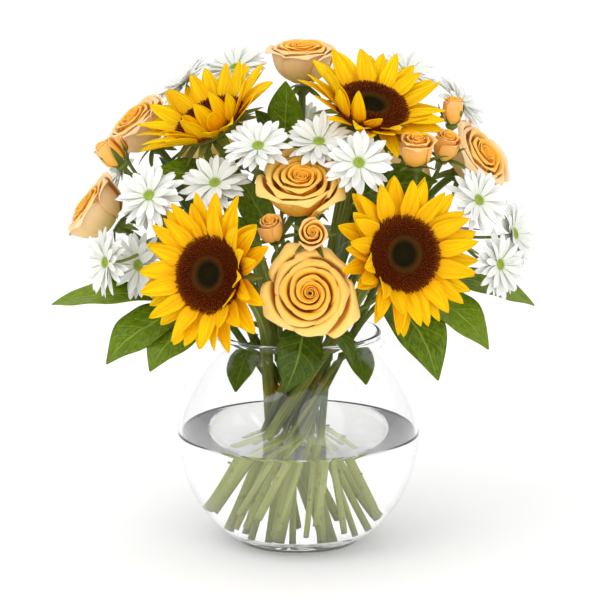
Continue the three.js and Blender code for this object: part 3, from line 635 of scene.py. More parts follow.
STEM_GREEN = stem_finish("flower_stem", (0.100, 0.130, 0.012), (0.280, 0.310, 0.055))
SEPAL_GREEN = stem_finish("sepal", (0.070, 0.110, 0.010), (0.170, 0.220, 0.040))
LEAF_GREEN = leaf_finish("leaf", (0.060, 0.110, 0.001), (0.210, 0.310, 0.004), (0.280, 0.380, 0.045))
ROSE_LEAF_GREEN = leaf_finish("rose_leaf", (0.03, 0.06, 0.001), (0.10, 0.16, 0.003), (0.20, 0.29, 0.04))
print("greens:", STEM_GREEN.name, SEPAL_GREEN.name, LEAF_GREEN.name, ROSE_LEAF_GREEN.name)

# %% [markdown]
# ## Where everything stands
#
# These are the same driving values as the solid model's: the places of the blooms in millimetres, and the
# way each faces as azimuth and elevation. The lists for stems and leaves are kept here too, so that the
# whole bouquet can be rearranged in one cell.

# %% Places of the blooms
# Name, place, face, cup of the rays, and where and by how much they curl forward.
SUNFLOWERS = [
    ("sunflower_1", [-66, -118, 247], [-30, 12], 14, [0, 50]),
    ("sunflower_2", [79, -114, 262], [20, 12], 14, [200, 45]),
    ("sunflower_3", [-70, -20, 351], [-52, 56], 30, [330, 50]),
    ("sunflower_4", [57, -38, 364], [20, 57], 20, [200, 50]),
]
# Name, place, face, size, and how far the bloom is open.
ROSES = [
    ("rose_1", [2, -94, 313], [0, 57], 0.97, 0.85),
    ("rose_2", [9, -131, 235], [0, 14], 0.98, 1.0),
    ("rose_3", [3, 32, 400], [0, 80], 0.9, 0.75),
    ("rose_4", [-132, 28, 345], [-68, 50], 0.86, 0.7),
    ("rose_5", [-166, -15, 282], [-80, 36], 0.86, 0.7),
    ("rose_6", [147, 2, 320], [58, 34], 0.86, 0.85),
    ("rose_7", [-70, 105, 315], [215, 42], 0.9, 0.85),
    ("rose_8", [82, 100, 300], [140, 38], 0.9, 0.9),
]
# Name, fork, and for each bud its place, face, radius and how far it is open.
BUD_SPRAYS = [
    ("bud_spray_1", [-4, -84, 245], [
        ([-20, -110, 281], [-20, 58], 11, 0.4), ([11, -130, 280], [0, 24], 10.5, 0.8),
    ]),
    ("bud_spray_2", [98, -34, 290], [
        ([92, -80, 337], [10, 72], 13, 0.8), ([116, -52, 337], [30, 62], 12, 0.5),
        ([123, -22, 361], [20, 78], 11, 0.2),
    ]),
    ("bud_spray_3", [-122, -24, 300], [
        ([-149, -30, 328], [-75, 48], 12, 0.2), ([-143, -11, 331], [-60, 62], 7, 0.1),
    ]),
]
# Name, fork, and the place and face of each head.
DAISY_SPRAYS = [
    ("daisy_spray_1", [-112, -48, 258], [
        ([-116, -74, 301], [-22, 32]), ([-150, -78, 249], [-55, 8]), ([-126, -58, 243], [-30, 2]),
    ]),
    ("daisy_spray_2", [-42, -48, 290], [([-65, -70, 310], [-10, 45]), ([-31, -84, 341], [-8, 50])]),
    ("daisy_spray_3", [34, -46, 305], [([46, -104, 331], [12, 28]), ([16, -74, 343], [0, 52])]),
    ("daisy_spray_4", [124, -34, 262], [
        ([140, -72, 297], [38, 26]), ([158, -66, 245], [48, 10]), ([172, -34, 264], [66, 18]),
    ]),
    ("daisy_spray_5", [-78, 30, 335], [
        ([-94, 46, 376], [-80, 48]), ([-52, 48, 388], [-24, 62]), ([-148, 52, 302], [-78, 26]),
    ]),
    ("daisy_spray_6", [96, 32, 335], [([88, 36, 386], [40, 60]), ([132, 28, 362], [74, 42])]),
    ("daisy_spray_7", [0, 84, 290], [
        ([4, 122, 330], [180, 40]), ([6, 138, 272], [184, 8]), ([-128, 88, 272], [232, 18]),
    ]),
]
# Name, the two ends of the branch above the stem, and its leaves: share along, tip, half width, arch, and
# where the upper side faces if that isn't up.
SPRIGS = [
    ("foliage_left", [[-72, -48, 203], [-110, -56, 215]], [
        (0.9, [-198, -38, 207], 19, 8, [0, 66]), (0.4, [-152, -72, 166], 26, 10, [-34, 44]),
        (0.05, [-116, -97, 166], 24, 10, [-20, 44]),
    ]),
    ("foliage_right", [[66, -36, 216], [112, -34, 230]], [
        (0.1, [109, -102, 160], 26, 12, [20, 40]), (0.5, [151, -64, 176], 25, 10, [34, 44]),
        (0.95, [191, -22, 203], 19, 8, [10, 60]),
    ]),
    ("foliage_front", [[-8, -44, 214], [-18, -62, 262]], [
        (0.9, [-50, -64, 318], 17, -6), (0.5, [-8, -86, 268], 14, -6),
    ]),
    ("foliage_top", [[-14, -8, 262], [-12, -14, 330]], [
        (0.97, [-10, -34, 386], 17, -4), (0.6, [32, -12, 340], 13, 4), (0.4, [-70, -46, 330], 20, 6),
    ]),
    ("foliage_back_left", [[-48, 52, 222], [-70, 78, 244]], [
        (0.9, [-128, 128, 214], 23, 12), (0.3, [-66, 128, 180], 22, 12), (0.6, [-150, 62, 226], 21, 10),
    ]),
    ("foliage_back_right", [[50, 50, 222], [72, 74, 244]], [
        (0.9, [130, 122, 212], 23, 12), (0.3, [64, 128, 178], 22, 12), (0.6, [156, 58, 228], 21, 10),
    ]),
]
# Leaves on the stems of blooms: share of the stem's length, tip, half width, arch and face.
STEM_LEAVES = {
    "sunflower_3": [(0.74, [-112, -54, 318], 22, 6, [-20, 40]), (0.5, [-70, -66, 284], 20, 4, [-10, 20])],
    "sunflower_4": [
        (0.68, [110, -46, 308], 22, 6, [20, 40]), (0.56, [104, 20, 296], 22, 8, [90, 40]),
        (0.48, [50, -76, 268], 18, 4, [10, 20]),
    ],
    "rose_2": [(0.5, [-10, -95, 149], 23, 14), (0.42, [43, -86, 168], 15, 12)],
    "rose_3": [
        (0.72, [-36, 58, 352], 19, 6, [190, 40]), (0.58, [30, 74, 316], 20, 6, [170, 40]),
        (0.4, [22, 72, 262], 15, 6, [170, 40]),
    ],
    "rose_4": [(0.6, [-112, -8, 322], 18, -6), (0.5, [-128, 64, 266], 18, 4, [-120, 50])],
    "rose_5": [(0.5, [-138, 34, 214], 18, 8), (0.66, [-156, -46, 228], 19, 6, [-50, 40])],
    "rose_6": [(0.45, [130, 22, 226], 17, 8), (0.62, [146, -40, 268], 17, 4, [50, 30])],
    "rose_7": [(0.62, [-28, 118, 250], 18, 8), (0.5, [-104, 62, 280], 18, -5)],
    "rose_8": [(0.62, [24, 114, 244], 18, 8), (0.5, [114, 56, 280], 18, -5)],
    "bud_spray_2": [(0.6, [94, -72, 318], 17, -5)],
    "daisy_spray_1": [(0.19, [-50, -52, 138], 14, 4)],
    "daisy_spray_4": [(0.19, [54, -44, 142], 13, 4, [20, 10])],
}
heads_in_all = sum(len(heads) for _, _, heads in DAISY_SPRAYS)
print(len(SUNFLOWERS), "sunflowers,", len(ROSES), "roses,", heads_in_all, "daisies")

# %% [markdown]
# ## The spiral bundle
#
# Below the rim the stems are straight, and all lean the same way round, as when a florist adds each at the
# same slant. Every stem turns round the axis by one rule, so no two meet. Each has a slot at the bundle's
# waist, and the slots push each other apart, round by round, until every stem has room.

# %% Slots in the bundle
WAIST, TWIST, BUNDLE_RADIUS, STRAIGHT_TO = 115, 0.027, 26.5, 180
NECK_REACH, WIDE_BLOOM, ELBOW_ROOM, LEAST_GAP, ROUNDS = 48, 150, 1.22, 1, 400


def bundle_point(slot, height):
    """Where the stem of a slot is at a height: the slot, sheared sideways in proportion to the height."""
    turn = TWIST * (np.asarray(height, float) - WAIST)
    return triples(slot[0] - turn * slot[1], slot[1] + turn * slot[0], height)


def first_slot(toward):
    """The slot that leads straight to a bloom: its place at the rim, turned back to the waist."""
    turn = TWIST * (STRAIGHT_TO - WAIST)
    reach = math.hypot(toward[0], toward[1])
    x, y = np.array(toward[:2]) * (NECK_REACH * min(1, reach / WIDE_BLOOM) ** 0.8 / reach)
    return np.array([x + turn * y, y - turn * x]) / (1 + turn * turn)


def settled(slots, radii):
    """Slots after they have pushed each other apart, each kept inside the bundle."""
    for _ in range(ROUNDS):
        for i, j in zip(*np.triu_indices(len(slots), 1)):
            between = slots[j] - slots[i]
            distance = math.hypot(*between)
            short = ELBOW_ROOM * (radii[i] + radii[j]) + LEAST_GAP - distance
            if short > 0:
                slots[j] += between * (short / 2 / distance)
                slots[i] -= between * (short / 2 / distance)
        length = np.linalg.norm(slots, axis=1, keepdims=True)
        slots *= np.minimum(1, BUNDLE_RADIUS / length)
    return slots


print("a stem to the front starts at the slot", first_slot([0, -100]).round(1))

# %% [markdown]
# A stem runs straight through the water and the neck, and then bends in one curve to its bloom, where it
# arrives from behind, or to the fork of its spray. The outer stems stand a little higher on the round
# floor.

# %% Stems
LOWEST_FOOT, OUTER_FOOT_RISE = 17, 27
STRAIGHT_SHARE, STRAIGHT_POINTS, BEND_POINTS, FINE_STEPS = 1 / 5, 15, 26, 200
# The stem's radius for each kind, and how far behind the middle of a bloom it ends.
SUNFLOWER_RADIUS, ROSE_RADIUS, BUD_RADIUS, DAISY_RADIUS, SPRIG_RADIUS = 5, 3, 2.4, 2.2, 2
SUNFLOWER_NECK, ROSE_NECK = 10, 36


def shares(count):
    """Even steps from 0 to 1, as a column."""
    return np.linspace(0, 1, count)[:, None]


class Stem:
    """A stem's slot, radius and where its upper end arrives."""

    def __init__(self, name, toward, end, direction, radius):
        self.name, self.toward, self.radius = name, toward, radius
        self.end, self.direction = np.array(end, float), np.array(direction, float)

    def bend(self, count):
        """The curve from the bundle at the rim's height to the bloom or fork."""
        foot, top = bundle_point(self.slot, self.foot), bundle_point(self.slot, STRAIGHT_TO)
        reach = np.linalg.norm(self.end - top)
        leave, arrive = top + unit(top - foot) * 0.3 * reach, self.end - self.direction * 0.35 * reach
        return bezier(top, leave, arrive, self.end, shares(count))

    def path(self):
        """All points of the stem, from its cut end upwards."""
        heights = np.linspace(self.foot, STRAIGHT_TO, STRAIGHT_POINTS + 1)[:-1]
        return np.concatenate([bundle_point(self.slot, heights), self.bend(BEND_POINTS)])

    def at(self, share):
        """The point at a share of the stem, of which the first part is straight."""
        if share <= STRAIGHT_SHARE:
            return bundle_point(self.slot, self.foot + (STRAIGHT_TO - self.foot) * share / STRAIGHT_SHARE)
        return self.bend(FINE_STEPS + 1)[round(FINE_STEPS * (share - STRAIGHT_SHARE) / (1 - STRAIGHT_SHARE))]


def bloom_stem(name, place, face, radius, neck):
    """A stem that ends behind a bloom, in the bloom's own direction."""
    return Stem(name, place, np.array(place) - facing(face) * neck, facing(face), radius)


def fork_stem(name, fork, radius):
    """A stem that ends at the fork of a spray, pointing away from the bundle's waist."""
    return Stem(name, fork, fork, unit(np.array([fork[0], fork[1], fork[2] - WAIST], float)), radius)


stems = [bloom_stem(*row[:3], SUNFLOWER_RADIUS, SUNFLOWER_NECK) for row in SUNFLOWERS]
stems += [bloom_stem(*row[:3], ROSE_RADIUS, ROSE_NECK * row[3]) for row in ROSES]
stems += [fork_stem(name, fork, BUD_RADIUS) for name, fork, _ in BUD_SPRAYS]
stems += [fork_stem(name, fork, DAISY_RADIUS) for name, fork, _ in DAISY_SPRAYS]
stems += [fork_stem(name, route[0], SPRIG_RADIUS) for name, route, _ in SPRIGS]
slots = settled(np.array([first_slot(stem.toward) for stem in stems]), [stem.radius for stem in stems])
for stem, slot in zip(stems, slots):
    stem.slot = slot
    stem.foot = LOWEST_FOOT + OUTER_FOOT_RISE * (np.hypot(*slot) / BUNDLE_RADIUS) ** 2
STEMS = {stem.name: stem for stem in stems}
print("stems:", len(stems), "; first slot", slots[0].round(1))

# %% [markdown]
# ## Leaves
#
# A leaf is a surface with two curved directions. Along it, an arch bows it up and the tip droops. Across
# it, the halves fold up from the midrib, and the edge waves and has fine teeth. The outline widens fast
# from the stalk and narrows slowly to a point. Between its side veins the blade is a little quilted.

# %% Leaf shape
LEAF_THICKNESS = 0.5
LEAF_ROWS, LEAF_COLUMNS, TEETH_EACH, QUILTS_EACH = 49, 15, 17, 5
SUNFLOWER_TEETH, ROSE_TEETH = 0.03, 0.11


def leaf(start, tip, half, arch, face=None, chance=0.5, teeth=0.0):
    """The middle line runs from start to tip and rises by arch x 4v(1 - v). The half width is
    half x sin(pi v^0.9) x v^0.25, and teeth notch it by a sawtooth in v."""
    start, tip = np.array(start, float), np.array(tip, float)
    run = tip - start
    outward = unit(np.array([start[0] + tip[0], start[1] + tip[1], 0.0]))
    above = outward if abs(run[2]) > 0.75 * np.linalg.norm(run) else np.array([0.0, 0.0, 1.0])
    if face is not None:
        above = facing(face)
    side = unit(np.cross(run, above))
    up = unit(np.cross(side, run))
    v, u = grid_lines(LEAF_ROWS, LEAF_COLUMNS)
    width = 0.7 + half * np.sin(np.pi * v ** 0.9) * v ** 0.25
    width = width * (1 - teeth * ((v * TEETH_EACH + 0.3 * chance) % 1) * (np.abs(u) > 0.93))
    fold = 0.16 * np.abs(u) * width
    wave = np.sin(2 * np.pi * (2.3 * v + chance) + np.sign(u) * 0.9)
    wave = 0.055 * half * wave * u * u * np.sin(np.pi * v)
    quilt = -0.021 * width * (1 - u * u) * np.sin(2 * np.pi * QUILTS_EACH * v - np.abs(u) * 2.4)
    rise = arch * 4 * v * (1 - v) + fold + wave + quilt
    sway = 0.05 * half * np.sin(2 * np.pi * (v + chance)) * np.sin(np.pi * v)
    points = start + v[..., None] * run + rise[..., None] * up + (u * width + sway)[..., None] * side
    return points.reshape(-1, 3), [grid_faces(LEAF_ROWS, LEAF_COLUMNS)], triples(u, v, chance).reshape(-1, 3)


def leaves_on(branch, leaves, generator, teeth=0.0):
    """One shape from several leaves: branch turns a leaf's share into its place, and the rest is its form."""
    return join([leaf(branch(share), *form, chance=generator.random(), teeth=teeth)
                 for share, *form in leaves])


def add_stem_leaves(stem, generator, teeth, finish, node):
    """The leaves that grow on a bloom's stem, if it has any."""
    if stem.name in STEM_LEAVES:
        shape = leaves_on(stem.at, STEM_LEAVES[stem.name], generator, teeth)
        make_piece(stem.name + "_leaves", shape, finish, node, thick=LEAF_THICKNESS)


print("points on a leaf:", LEAF_ROWS * LEAF_COLUMNS)

# %% [markdown]
# ## Sunflowers
#
# Three layers of rays stand round the disc, each a third of a step on from the one before. On one side of
# most of these blooms the rays curl forward over the disc, as young ones do. The rays' tilt says by how
# much.

# %% Sunflower rays
RAYS_EACH, RAY_THICKNESS, DISC_RADIUS = 13, 0.5, 29
# Blooms that look up by more than this many degrees get the paler rays, as painted light.
PAINTED_LIGHT_ABOVE = 45
# For each layer: height, extra tilt, length, how far it is turned on, and its share of the one-sided tilt.
RAY_LAYERS = [(1.0, 13, 35, 0.0, 1.0), (0.0, 3, 37.5, 0.36, 0.75), (-1.0, -6, 37.5, 0.7, 0.5)]


def sunflower_rays(cup, lean, generator):
    """Three layers of grooved rays; lean = (direction, extra tilt) lifts the rays of one side."""
    layers = []
    for height, lift, length, phase, share in RAY_LAYERS:
        azimuth = petal_angles(generator, RAYS_EACH, 0.2, phase)
        near = np.maximum(0, np.cos(azimuth - np.radians(lean[0])))
        tilt = cup + lift + lean[1] * share * near ** 2 + wobble(generator, RAYS_EACH, 8)
        layers.append(blades(
            azimuth, DISC_RADIUS - 3.5, height, length * generator.uniform(0.9, 1.06, RAYS_EACH),
            generator.uniform(6.6, 8.6, RAYS_EACH), tilt, ray_outline,
            curl=generator.uniform(-34, 18, RAYS_EACH), twist=wobble(generator, RAYS_EACH, 34),
            sway=wobble(generator, RAYS_EACH, 4.5), cup=generator.uniform(0.08, 0.36, RAYS_EACH), pleat=0.3,
            rows=17, columns=11, chance=generator.random(RAYS_EACH)))
    return join(layers)


for number, (name, place, face, cup, lean) in enumerate(SUNFLOWERS):
    rays = sunflower_rays(cup, lean, chance_of("rays", number))
    # The blooms that look up get a paler yellow, as painted light for the extra light they catch.
    finish = RAY_PAINTED_LIGHT if face[1] > PAINTED_LIGHT_ABOVE else RAY_GOLD
    make_piece(name + "_petals", planted(rays, place, face), finish, name + "_rays",
               thick=RAY_THICKNESS)
print("rays on each sunflower:", len(RAY_LAYERS) * RAYS_EACH)

# %% [markdown]
# The disc is a low dome with a hollow middle. Its florets follow the golden angle, 137.5 degrees from each
# to the next, which packs them evenly. Those in the middle are short, and those near the rays are long and
# lean out. Under them lies a plain dark core, so that no light comes through the gaps.

# %% Florets
GOLDEN_ANGLE = math.radians(137.5)
# The rings of a floret: share of its length, and share of its width.
FLORET_RINGS = ((0, 0.55), (0.6, 1.0), (0.85, 0.7))


def golden_spiral(count, radius):
    """Points that fill a circle evenly: their shares of its radius, their distances and their angles."""
    index = np.arange(count)
    share = np.sqrt((index + 0.5) / count)
    return share, radius * share, GOLDEN_ANGLE * index


def sprouts(spots, directions, lengths, widths, chance, distance, sides=5):
    """Small pointed buds: each has a foot ring, a wider ring, a neck and a tip, along its own direction."""
    count = len(spots)
    side = unit(np.cross(directions, [0.3, 0.5, 0.81]))
    _, ring = ring_round(side, np.cross(directions, side), sides)
    long, wide = directions[:, None] * spread(lengths, count), spread(widths, count)
    rings = [spots[:, None] + ring * wide * size + long * share for share, size in FLORET_RINGS]
    points = np.concatenate(rings + [spots[:, None] + long], axis=1)
    rows, each = len(FLORET_RINGS), len(FLORET_RINGS) * sides + 1
    cap = fan(each - 1, (rows - 1) * sides, sides)
    faces = [copies_of(grid_faces(rows, sides, closed=True), count, each), copies_of(cap, count, each)]
    rise = np.append(np.repeat([share for share, _ in FLORET_RINGS], sides), 1.0)
    growth = triples(spread(distance, count)[:, 0], rise, chance[:, None])
    return points.reshape(-1, 3), faces, growth.reshape(-1, 3)


def core(profile, sides, radius, chance):
    """The turned shape under the florets. Growth holds the distance from the axis as a share of radius."""
    points, faces, _ = turned(profile, sides)
    return points, faces, triples(np.hypot(*points[:, :2].T) / radius, 0, chance)


print("angle between florets:", round(math.degrees(GOLDEN_ANGLE), 1))

# %% [markdown]
# The florets follow the dome, so its height is a function of the distance from the centre. The slope of that
# function, taken over a small step, says how far each floret has to lean to stand square to the dome.

# %% Sunflower discs
DISC_FLORETS, SLOPE_STEP = 1500, 0.2


def dome(r):
    """Height of the disc at a distance from its centre: a hollow, a raised ring, and a fall at the edge."""
    return 4.2 + 3.6 * smooth(3, 16, r) - 5.2 * smooth(21, 30, r)


def sunflower_disc(generator):
    """Florets in the golden spiral on the dome. Each leans out near the rays, in near the middle, and with
    the dome's slope."""
    share, r, angle = golden_spiral(DISC_FLORETS, DISC_RADIUS)
    x, y = np.cos(angle), np.sin(angle)
    slope = (dome(r + SLOPE_STEP) - dome(r - SLOPE_STEP)) / (2 * SLOPE_STEP)
    lean = 0.55 * smooth(0.45, 1, share) - 0.5 * (1 - smooth(0, 0.4, share)) * share - 0.6 * slope
    tilt_x, tilt_y = generator.normal(0, 0.12, (DISC_FLORETS, 2)).T
    directions = unit(triples(lean * x + tilt_x, lean * y + tilt_y, 1.0))
    lengths = 1.7 + 2.4 * smooth(0.35, 0.75, share) * generator.uniform(0.5, 1.25, DISC_FLORETS)
    widths = (0.30 + 0.16 * smooth(0.2, 0.6, share)) * generator.uniform(0.85, 1.15, DISC_FLORETS)
    spots = triples(r * x, r * y, dome(r) - 1.0)
    florets = sprouts(spots, directions, lengths, widths, generator.random(DISC_FLORETS), share)
    under = [[0, 1.9], [DISC_RADIUS - 1, 1.9]] + [[r, dome(r) - 0.9] for r in np.linspace(DISC_RADIUS, 0, 14)]
    return join([florets, core(under, 60, DISC_RADIUS, 0.2)])


for number, (name, place, face, _, _) in enumerate(SUNFLOWERS):
    florets = planted(sunflower_disc(chance_of("disc", number)), place, face)
    disc = make_piece(name + "_florets", florets, DISC_DARK, name + "_disc")
print("disc faces:", len(disc.data.polygons))

# %% [markdown]
# Behind the rays, the stem swells into a green cup with two rings of pointed bracts. Fine hairs cover the
# upper part of the stem. They are the same small buds as the florets, only long and thin.

# %% Sunflower greens
HAIRS_EACH, HAIR_LENGTH, HAIR_RADIUS = 500, 2.2, 0.09
# The first points of a stem's path, under water and in the neck, stay bare.
BARE_POINTS = 18
# For each ring of bracts: how many, distance from the axis, length, tilt and height.
BRACT_RINGS = ((13, 15, 30, -8, -3.2), (11, 11, 26, -20, -5.5))
CUP_PROFILE = [[0, -13.5], [5, -13.5], [8, -11], [14, -7.5], [21, -4.6], [26, -2.6], [26, -2.2], [0, -2.2]]


def random_spots(path, count, first, last, generator):
    """Random places on a path, with the path's direction and a direction straight out at each."""
    along, side, up = path_frame(path)
    row, angle = generator.integers(first, last, count), generator.uniform(0, 2 * np.pi, count)
    return path[row], along[row], np.cos(angle)[:, None] * side[row] + np.sin(angle)[:, None] * up[row]


def hairs(path, radius, generator):
    """Straight hairs that stand on a tube at random."""
    spots, along, out = random_spots(path, HAIRS_EACH, 1, len(path) - 1, generator)
    spots = spots + along * generator.uniform(-4, 4, HAIRS_EACH)[:, None] + out * (radius * 0.95)
    directions = unit(out + generator.normal(0, 0.25, (HAIRS_EACH, 3)))
    lengths = generator.uniform(0.6, 1.0, HAIRS_EACH) * HAIR_LENGTH
    return sprouts(spots, directions, lengths, HAIR_RADIUS, generator.random(HAIRS_EACH), 1.0, sides=3)


def sunflower_green(generator):
    """The cup behind the disc with its bracts, facing +Z."""
    rings = []
    for count, start, length, tilt, height in BRACT_RINGS:
        azimuth = petal_angles(generator, count, 0.2)
        rings.append(blades(
            azimuth, start, height, length * generator.uniform(0.85, 1.1, count), 5.6,
            tilt + wobble(generator, count, 9), sepal_outline, curl=generator.uniform(-30, 14, count),
            twist=wobble(generator, count, 20), cup=0.15, rows=12, columns=5, chance=generator.random(count)))
    return join(rings + [turned(CUP_PROFILE, 40)])


for number, (name, place, face, _, _) in enumerate(SUNFLOWERS):
    generator = chance_of("sunflower_stem", number)
    stem = STEMS[name]
    path = stem.path()
    green = [tube(path, stem.radius, 16, generator.random()),
             planted(sunflower_green(chance_of("bracts", number)), place, face),
             hairs(path[BARE_POINTS:], stem.radius, generator)]
    make_piece(name + "_green", join(green), STEM_GREEN, name + "_stem")
    add_stem_leaves(stem, generator, SUNFLOWER_TEETH, LEAF_GREEN, name + "_stem")
print("hairs on each sunflower stem:", HAIRS_EACH)

# %% [markdown]
# ## Roses
#
# A rose's petals grow in a spiral. Those at the heart are furled round each other, and each one further out
# stands a little wider, until the outer ones arch over and roll back at the rim. One formula makes them
# all. The cut through a petal, from its foot to its rim, is a curve with four handles, and every handle's
# place depends on how far out the petal is. A petal wraps round the flower's axis, so its half width is an
# angle.

# %% Rose petals
ROSE_PETALS, ROSE_REACH, ROSE_THICKNESS = 28, 36.0, 0.45
# Rows and columns of points on each petal.
ROSE_GRID = (25, 19)
GOLDEN_ROSES = ("rose_1", "rose_2")


def rose_head(count, opening, generator, reach, rows, columns):
    """Petals at the golden angle, t from the heart outwards. The cut through petal t is a Bezier curve of v
    from its foot, over its belly and up its wall, to its rim, one step beyond the petal inside it. The rim
    rolls over by lip and waves by ripple. The cut is turned round the axis by u x half width / radius."""
    t = spread(np.linspace(0, 1, count), count)
    v, u = grid_lines(rows, columns)

    def jitter(amount):
        return spread(wobble(generator, count, amount), count)

    wide = 1.4 + reach * t ** 1.35 * (1 + jitter(0.07) * (1 - 0.5 * t))
    roll = opening * (0.3 + 0.7 * smooth(0.02, 0.4, t))
    rim_radius = wide * (1 - 0.45 * (1 - opening) * t)
    step = roll * (1.4 + 6.6 * t) * (1 + jitter(0.25))
    rim_height = 12.5 - 2.5 * (1 - smooth(0, 0.25, t)) - 7 * opening * t ** 2 + jitter(1.6) * (0.5 + 0.5 * t)
    foot = (1.2 + 8 * t, -21 - 3 * t)
    belly = (wide * 0.9 + 2, -17 + t)
    wall = (rim_radius * (1.04 - 0.04 * roll) - step, rim_height - 9 * (1 - roll) + (3.5 + 1.5 * t) * roll)

    # The middle of the rim reaches furthest and comes to a short point.
    outline = 0.72 + 0.28 * np.sqrt(1 - 0.97 * u * u) + 0.03 * np.exp(-(u / 0.2) ** 2) * t
    radius = bezier(foot[0], belly[0], wall[0], rim_radius, v * outline)
    height = bezier(foot[1], belly[1], wall[1], rim_height, v * outline)
    lip = roll * (0.8 + 2.2 * t) * smooth(0.72, 1, v) * (1 + 0.8 * np.exp(-(u / 0.22) ** 2) * t)
    radius, height = radius + lip, height - 1.3 * lip * smooth(0.8, 1, v)
    # One side of a petal tucks under its neighbour, and the outer corners flare.
    radius = radius - u * (0.6 + 2.0 * t) + 0.7 * t * u ** 4 * smooth(0.3, 1, v)
    phase = jitter(math.pi)
    ripple = (np.sin(2.4 * u + phase) + 0.4 * np.sin(6.1 * u - 2 * phase)) * v ** 3 * (0.2 + 1.3 * t)
    radius, height = radius + ripple * 0.7, height + ripple * 0.55

    half = (11 + 15 * t) * min(1, reach / 30) * (0.3 + 0.7 * np.sin(np.pi / 2 * np.minimum(1, v / 0.62)))
    wrap = u * np.minimum(half / np.maximum(radius, 3.2), 2.6)
    around = GOLDEN_ANGLE * spread(np.arange(count), count) + jitter(0.16) + wrap
    radius = np.maximum(radius, 0.4)
    points = triples(radius * np.cos(around), radius * np.sin(around), height)
    faces = copies_of(grid_faces(rows, columns), count, rows * columns)
    return points.reshape(-1, 3), [faces], triples(u, v, t).reshape(-1, 3)


for number, (name, place, face, size, opening) in enumerate(ROSES):
    head = rose_head(ROSE_PETALS, opening, chance_of("rose", number), ROSE_REACH, *ROSE_GRID)
    finish = ROSE_GOLDEN if name in GOLDEN_ROSES else ROSE_PEACH
    bloom = make_piece(name + "_petals", planted(head, place, face, size), finish,
                       name + "_bloom", thick=ROSE_THICKNESS)
print("faces on a rose before it gets its thickness:", len(bloom.data.polygons))

# %% [markdown]
# Under the petals sit a round hip and five long sepals, bent back. Thorns point out from the stem and a
# little down. They are buds of the same kind as the florets, short and broad.

# %% Rose stems
SEPALS, ROSE_THORNS, THORN_RADIUS = 5, 9, 0.9
HIP_PROFILE = [[0, -40], [3, -40], [3.4, -38], [6.4, -34.5], [7.0, -31.5], [6.2, -28.5], [0, -28.5]]


def calyx(generator):
    """Five long sepals, bent back, on the round hip under the petals."""
    azimuth = petal_angles(generator, SEPALS, 0.12, 0.2)
    sepals = blades(
        azimuth, 5, -29, generator.uniform(24, 29, SEPALS), 3.9, -18 + wobble(generator, SEPALS, 14),
        sepal_outline, curl=generator.uniform(-50, 20, SEPALS), twist=wobble(generator, SEPALS, 30),
        sway=wobble(generator, SEPALS, 3), cup=0.3, rows=14, columns=7, chance=generator.random(SEPALS))
    return join([sepals, turned(HIP_PROFILE, 24)])


def thorns(path, radius, count, generator):
    """Short broad spikes along a stem, pointing out and a little down."""
    spots, along, out = random_spots(path, count, 2, len(path) - 3, generator)
    lengths = generator.uniform(2.6, 4.2, count)
    return sprouts(spots + out * (radius - 0.6), unit(out - along * 0.35), lengths, THORN_RADIUS,
                   generator.random(count), 1.0, sides=6)


for number, (name, place, face, size, _) in enumerate(ROSES):
    generator = chance_of("rose_stem", number)
    stem = STEMS[name]
    path = stem.path()
    green = [tube(path, stem.radius, 14, generator.random()),
             planted(calyx(chance_of("calyx", number)), place, face, size),
             thorns(path, stem.radius, ROSE_THORNS, generator)]
    make_piece(name + "_green", join(green), SEPAL_GREEN, name + "_stem")
    add_stem_leaves(stem, generator, ROSE_TEETH, ROSE_LEAF_GREEN, name + "_stem")
print("thorns on each rose stem:", ROSE_THORNS)

# %% [markdown]
# ## Spray roses
#
# The buds are small roses with fewer petals, furled more tightly. Their sepals hug a closed bud and bend
# away from an open one. Each bud stands on a thin twig that leaves the end of the spray's stem.

# %% Buds and their twigs
BUD_PETALS, BUD_THICKNESS, BUD_THORNS, BUD_TWIG = 16, 0.35, 6, 1.5
BUD_GRID, CLOSED_UP_TO = (17, 15), 0.3
# A bud is drawn at a radius of about 20 mm and then scaled, and raised by BUD_LIFT so that its hip meets it.
BUD_DRAWN_RADIUS, BUD_LIFT = 20, 7.6


def twig(stem, place, face, behind, radius, sides, generator):
    """A tube from just inside the stem's end to a seat behind a head."""
    direction = facing(face)
    seat, start = np.array(place) - direction * behind, stem.end - stem.direction
    reach = np.linalg.norm(seat - start)
    path = bezier(start, start + (seat - start) * 0.3, seat - direction * 0.4 * reach, seat, shares(14))
    return tube(path, radius, sides, generator.random())


def bud_calyx(radius, opening, generator):
    """The hip and five sepals of a bud: upright round a closed one, spread under an open one."""
    tilt, curl = (24, -30) if opening > CLOSED_UP_TO else (52, 38)
    floor = -0.95 * radius
    sepals = blades(
        2 * np.pi * (np.arange(SEPALS) + 0.1) / SEPALS, 0.42 * radius, floor,
        radius * generator.uniform(1.35, 1.7, SEPALS), 0.26 * radius, tilt + wobble(generator, SEPALS, 8),
        sepal_outline, curl=curl + wobble(generator, SEPALS, 14), twist=wobble(generator, SEPALS, 15),
        sway=wobble(generator, SEPALS, 0.12 * radius), cup=0.3, rows=14, columns=7,
        chance=generator.random(SEPALS))
    profile = [[0, floor - 7], [1.5, floor - 7], [1.8, floor - 5.5], [0.42 * radius, floor - 3],
               [0.46 * radius, floor - 1], [0.3 * radius, floor + 0.6], [0, floor + 0.6]]
    return join([sepals, turned(profile, 20)])


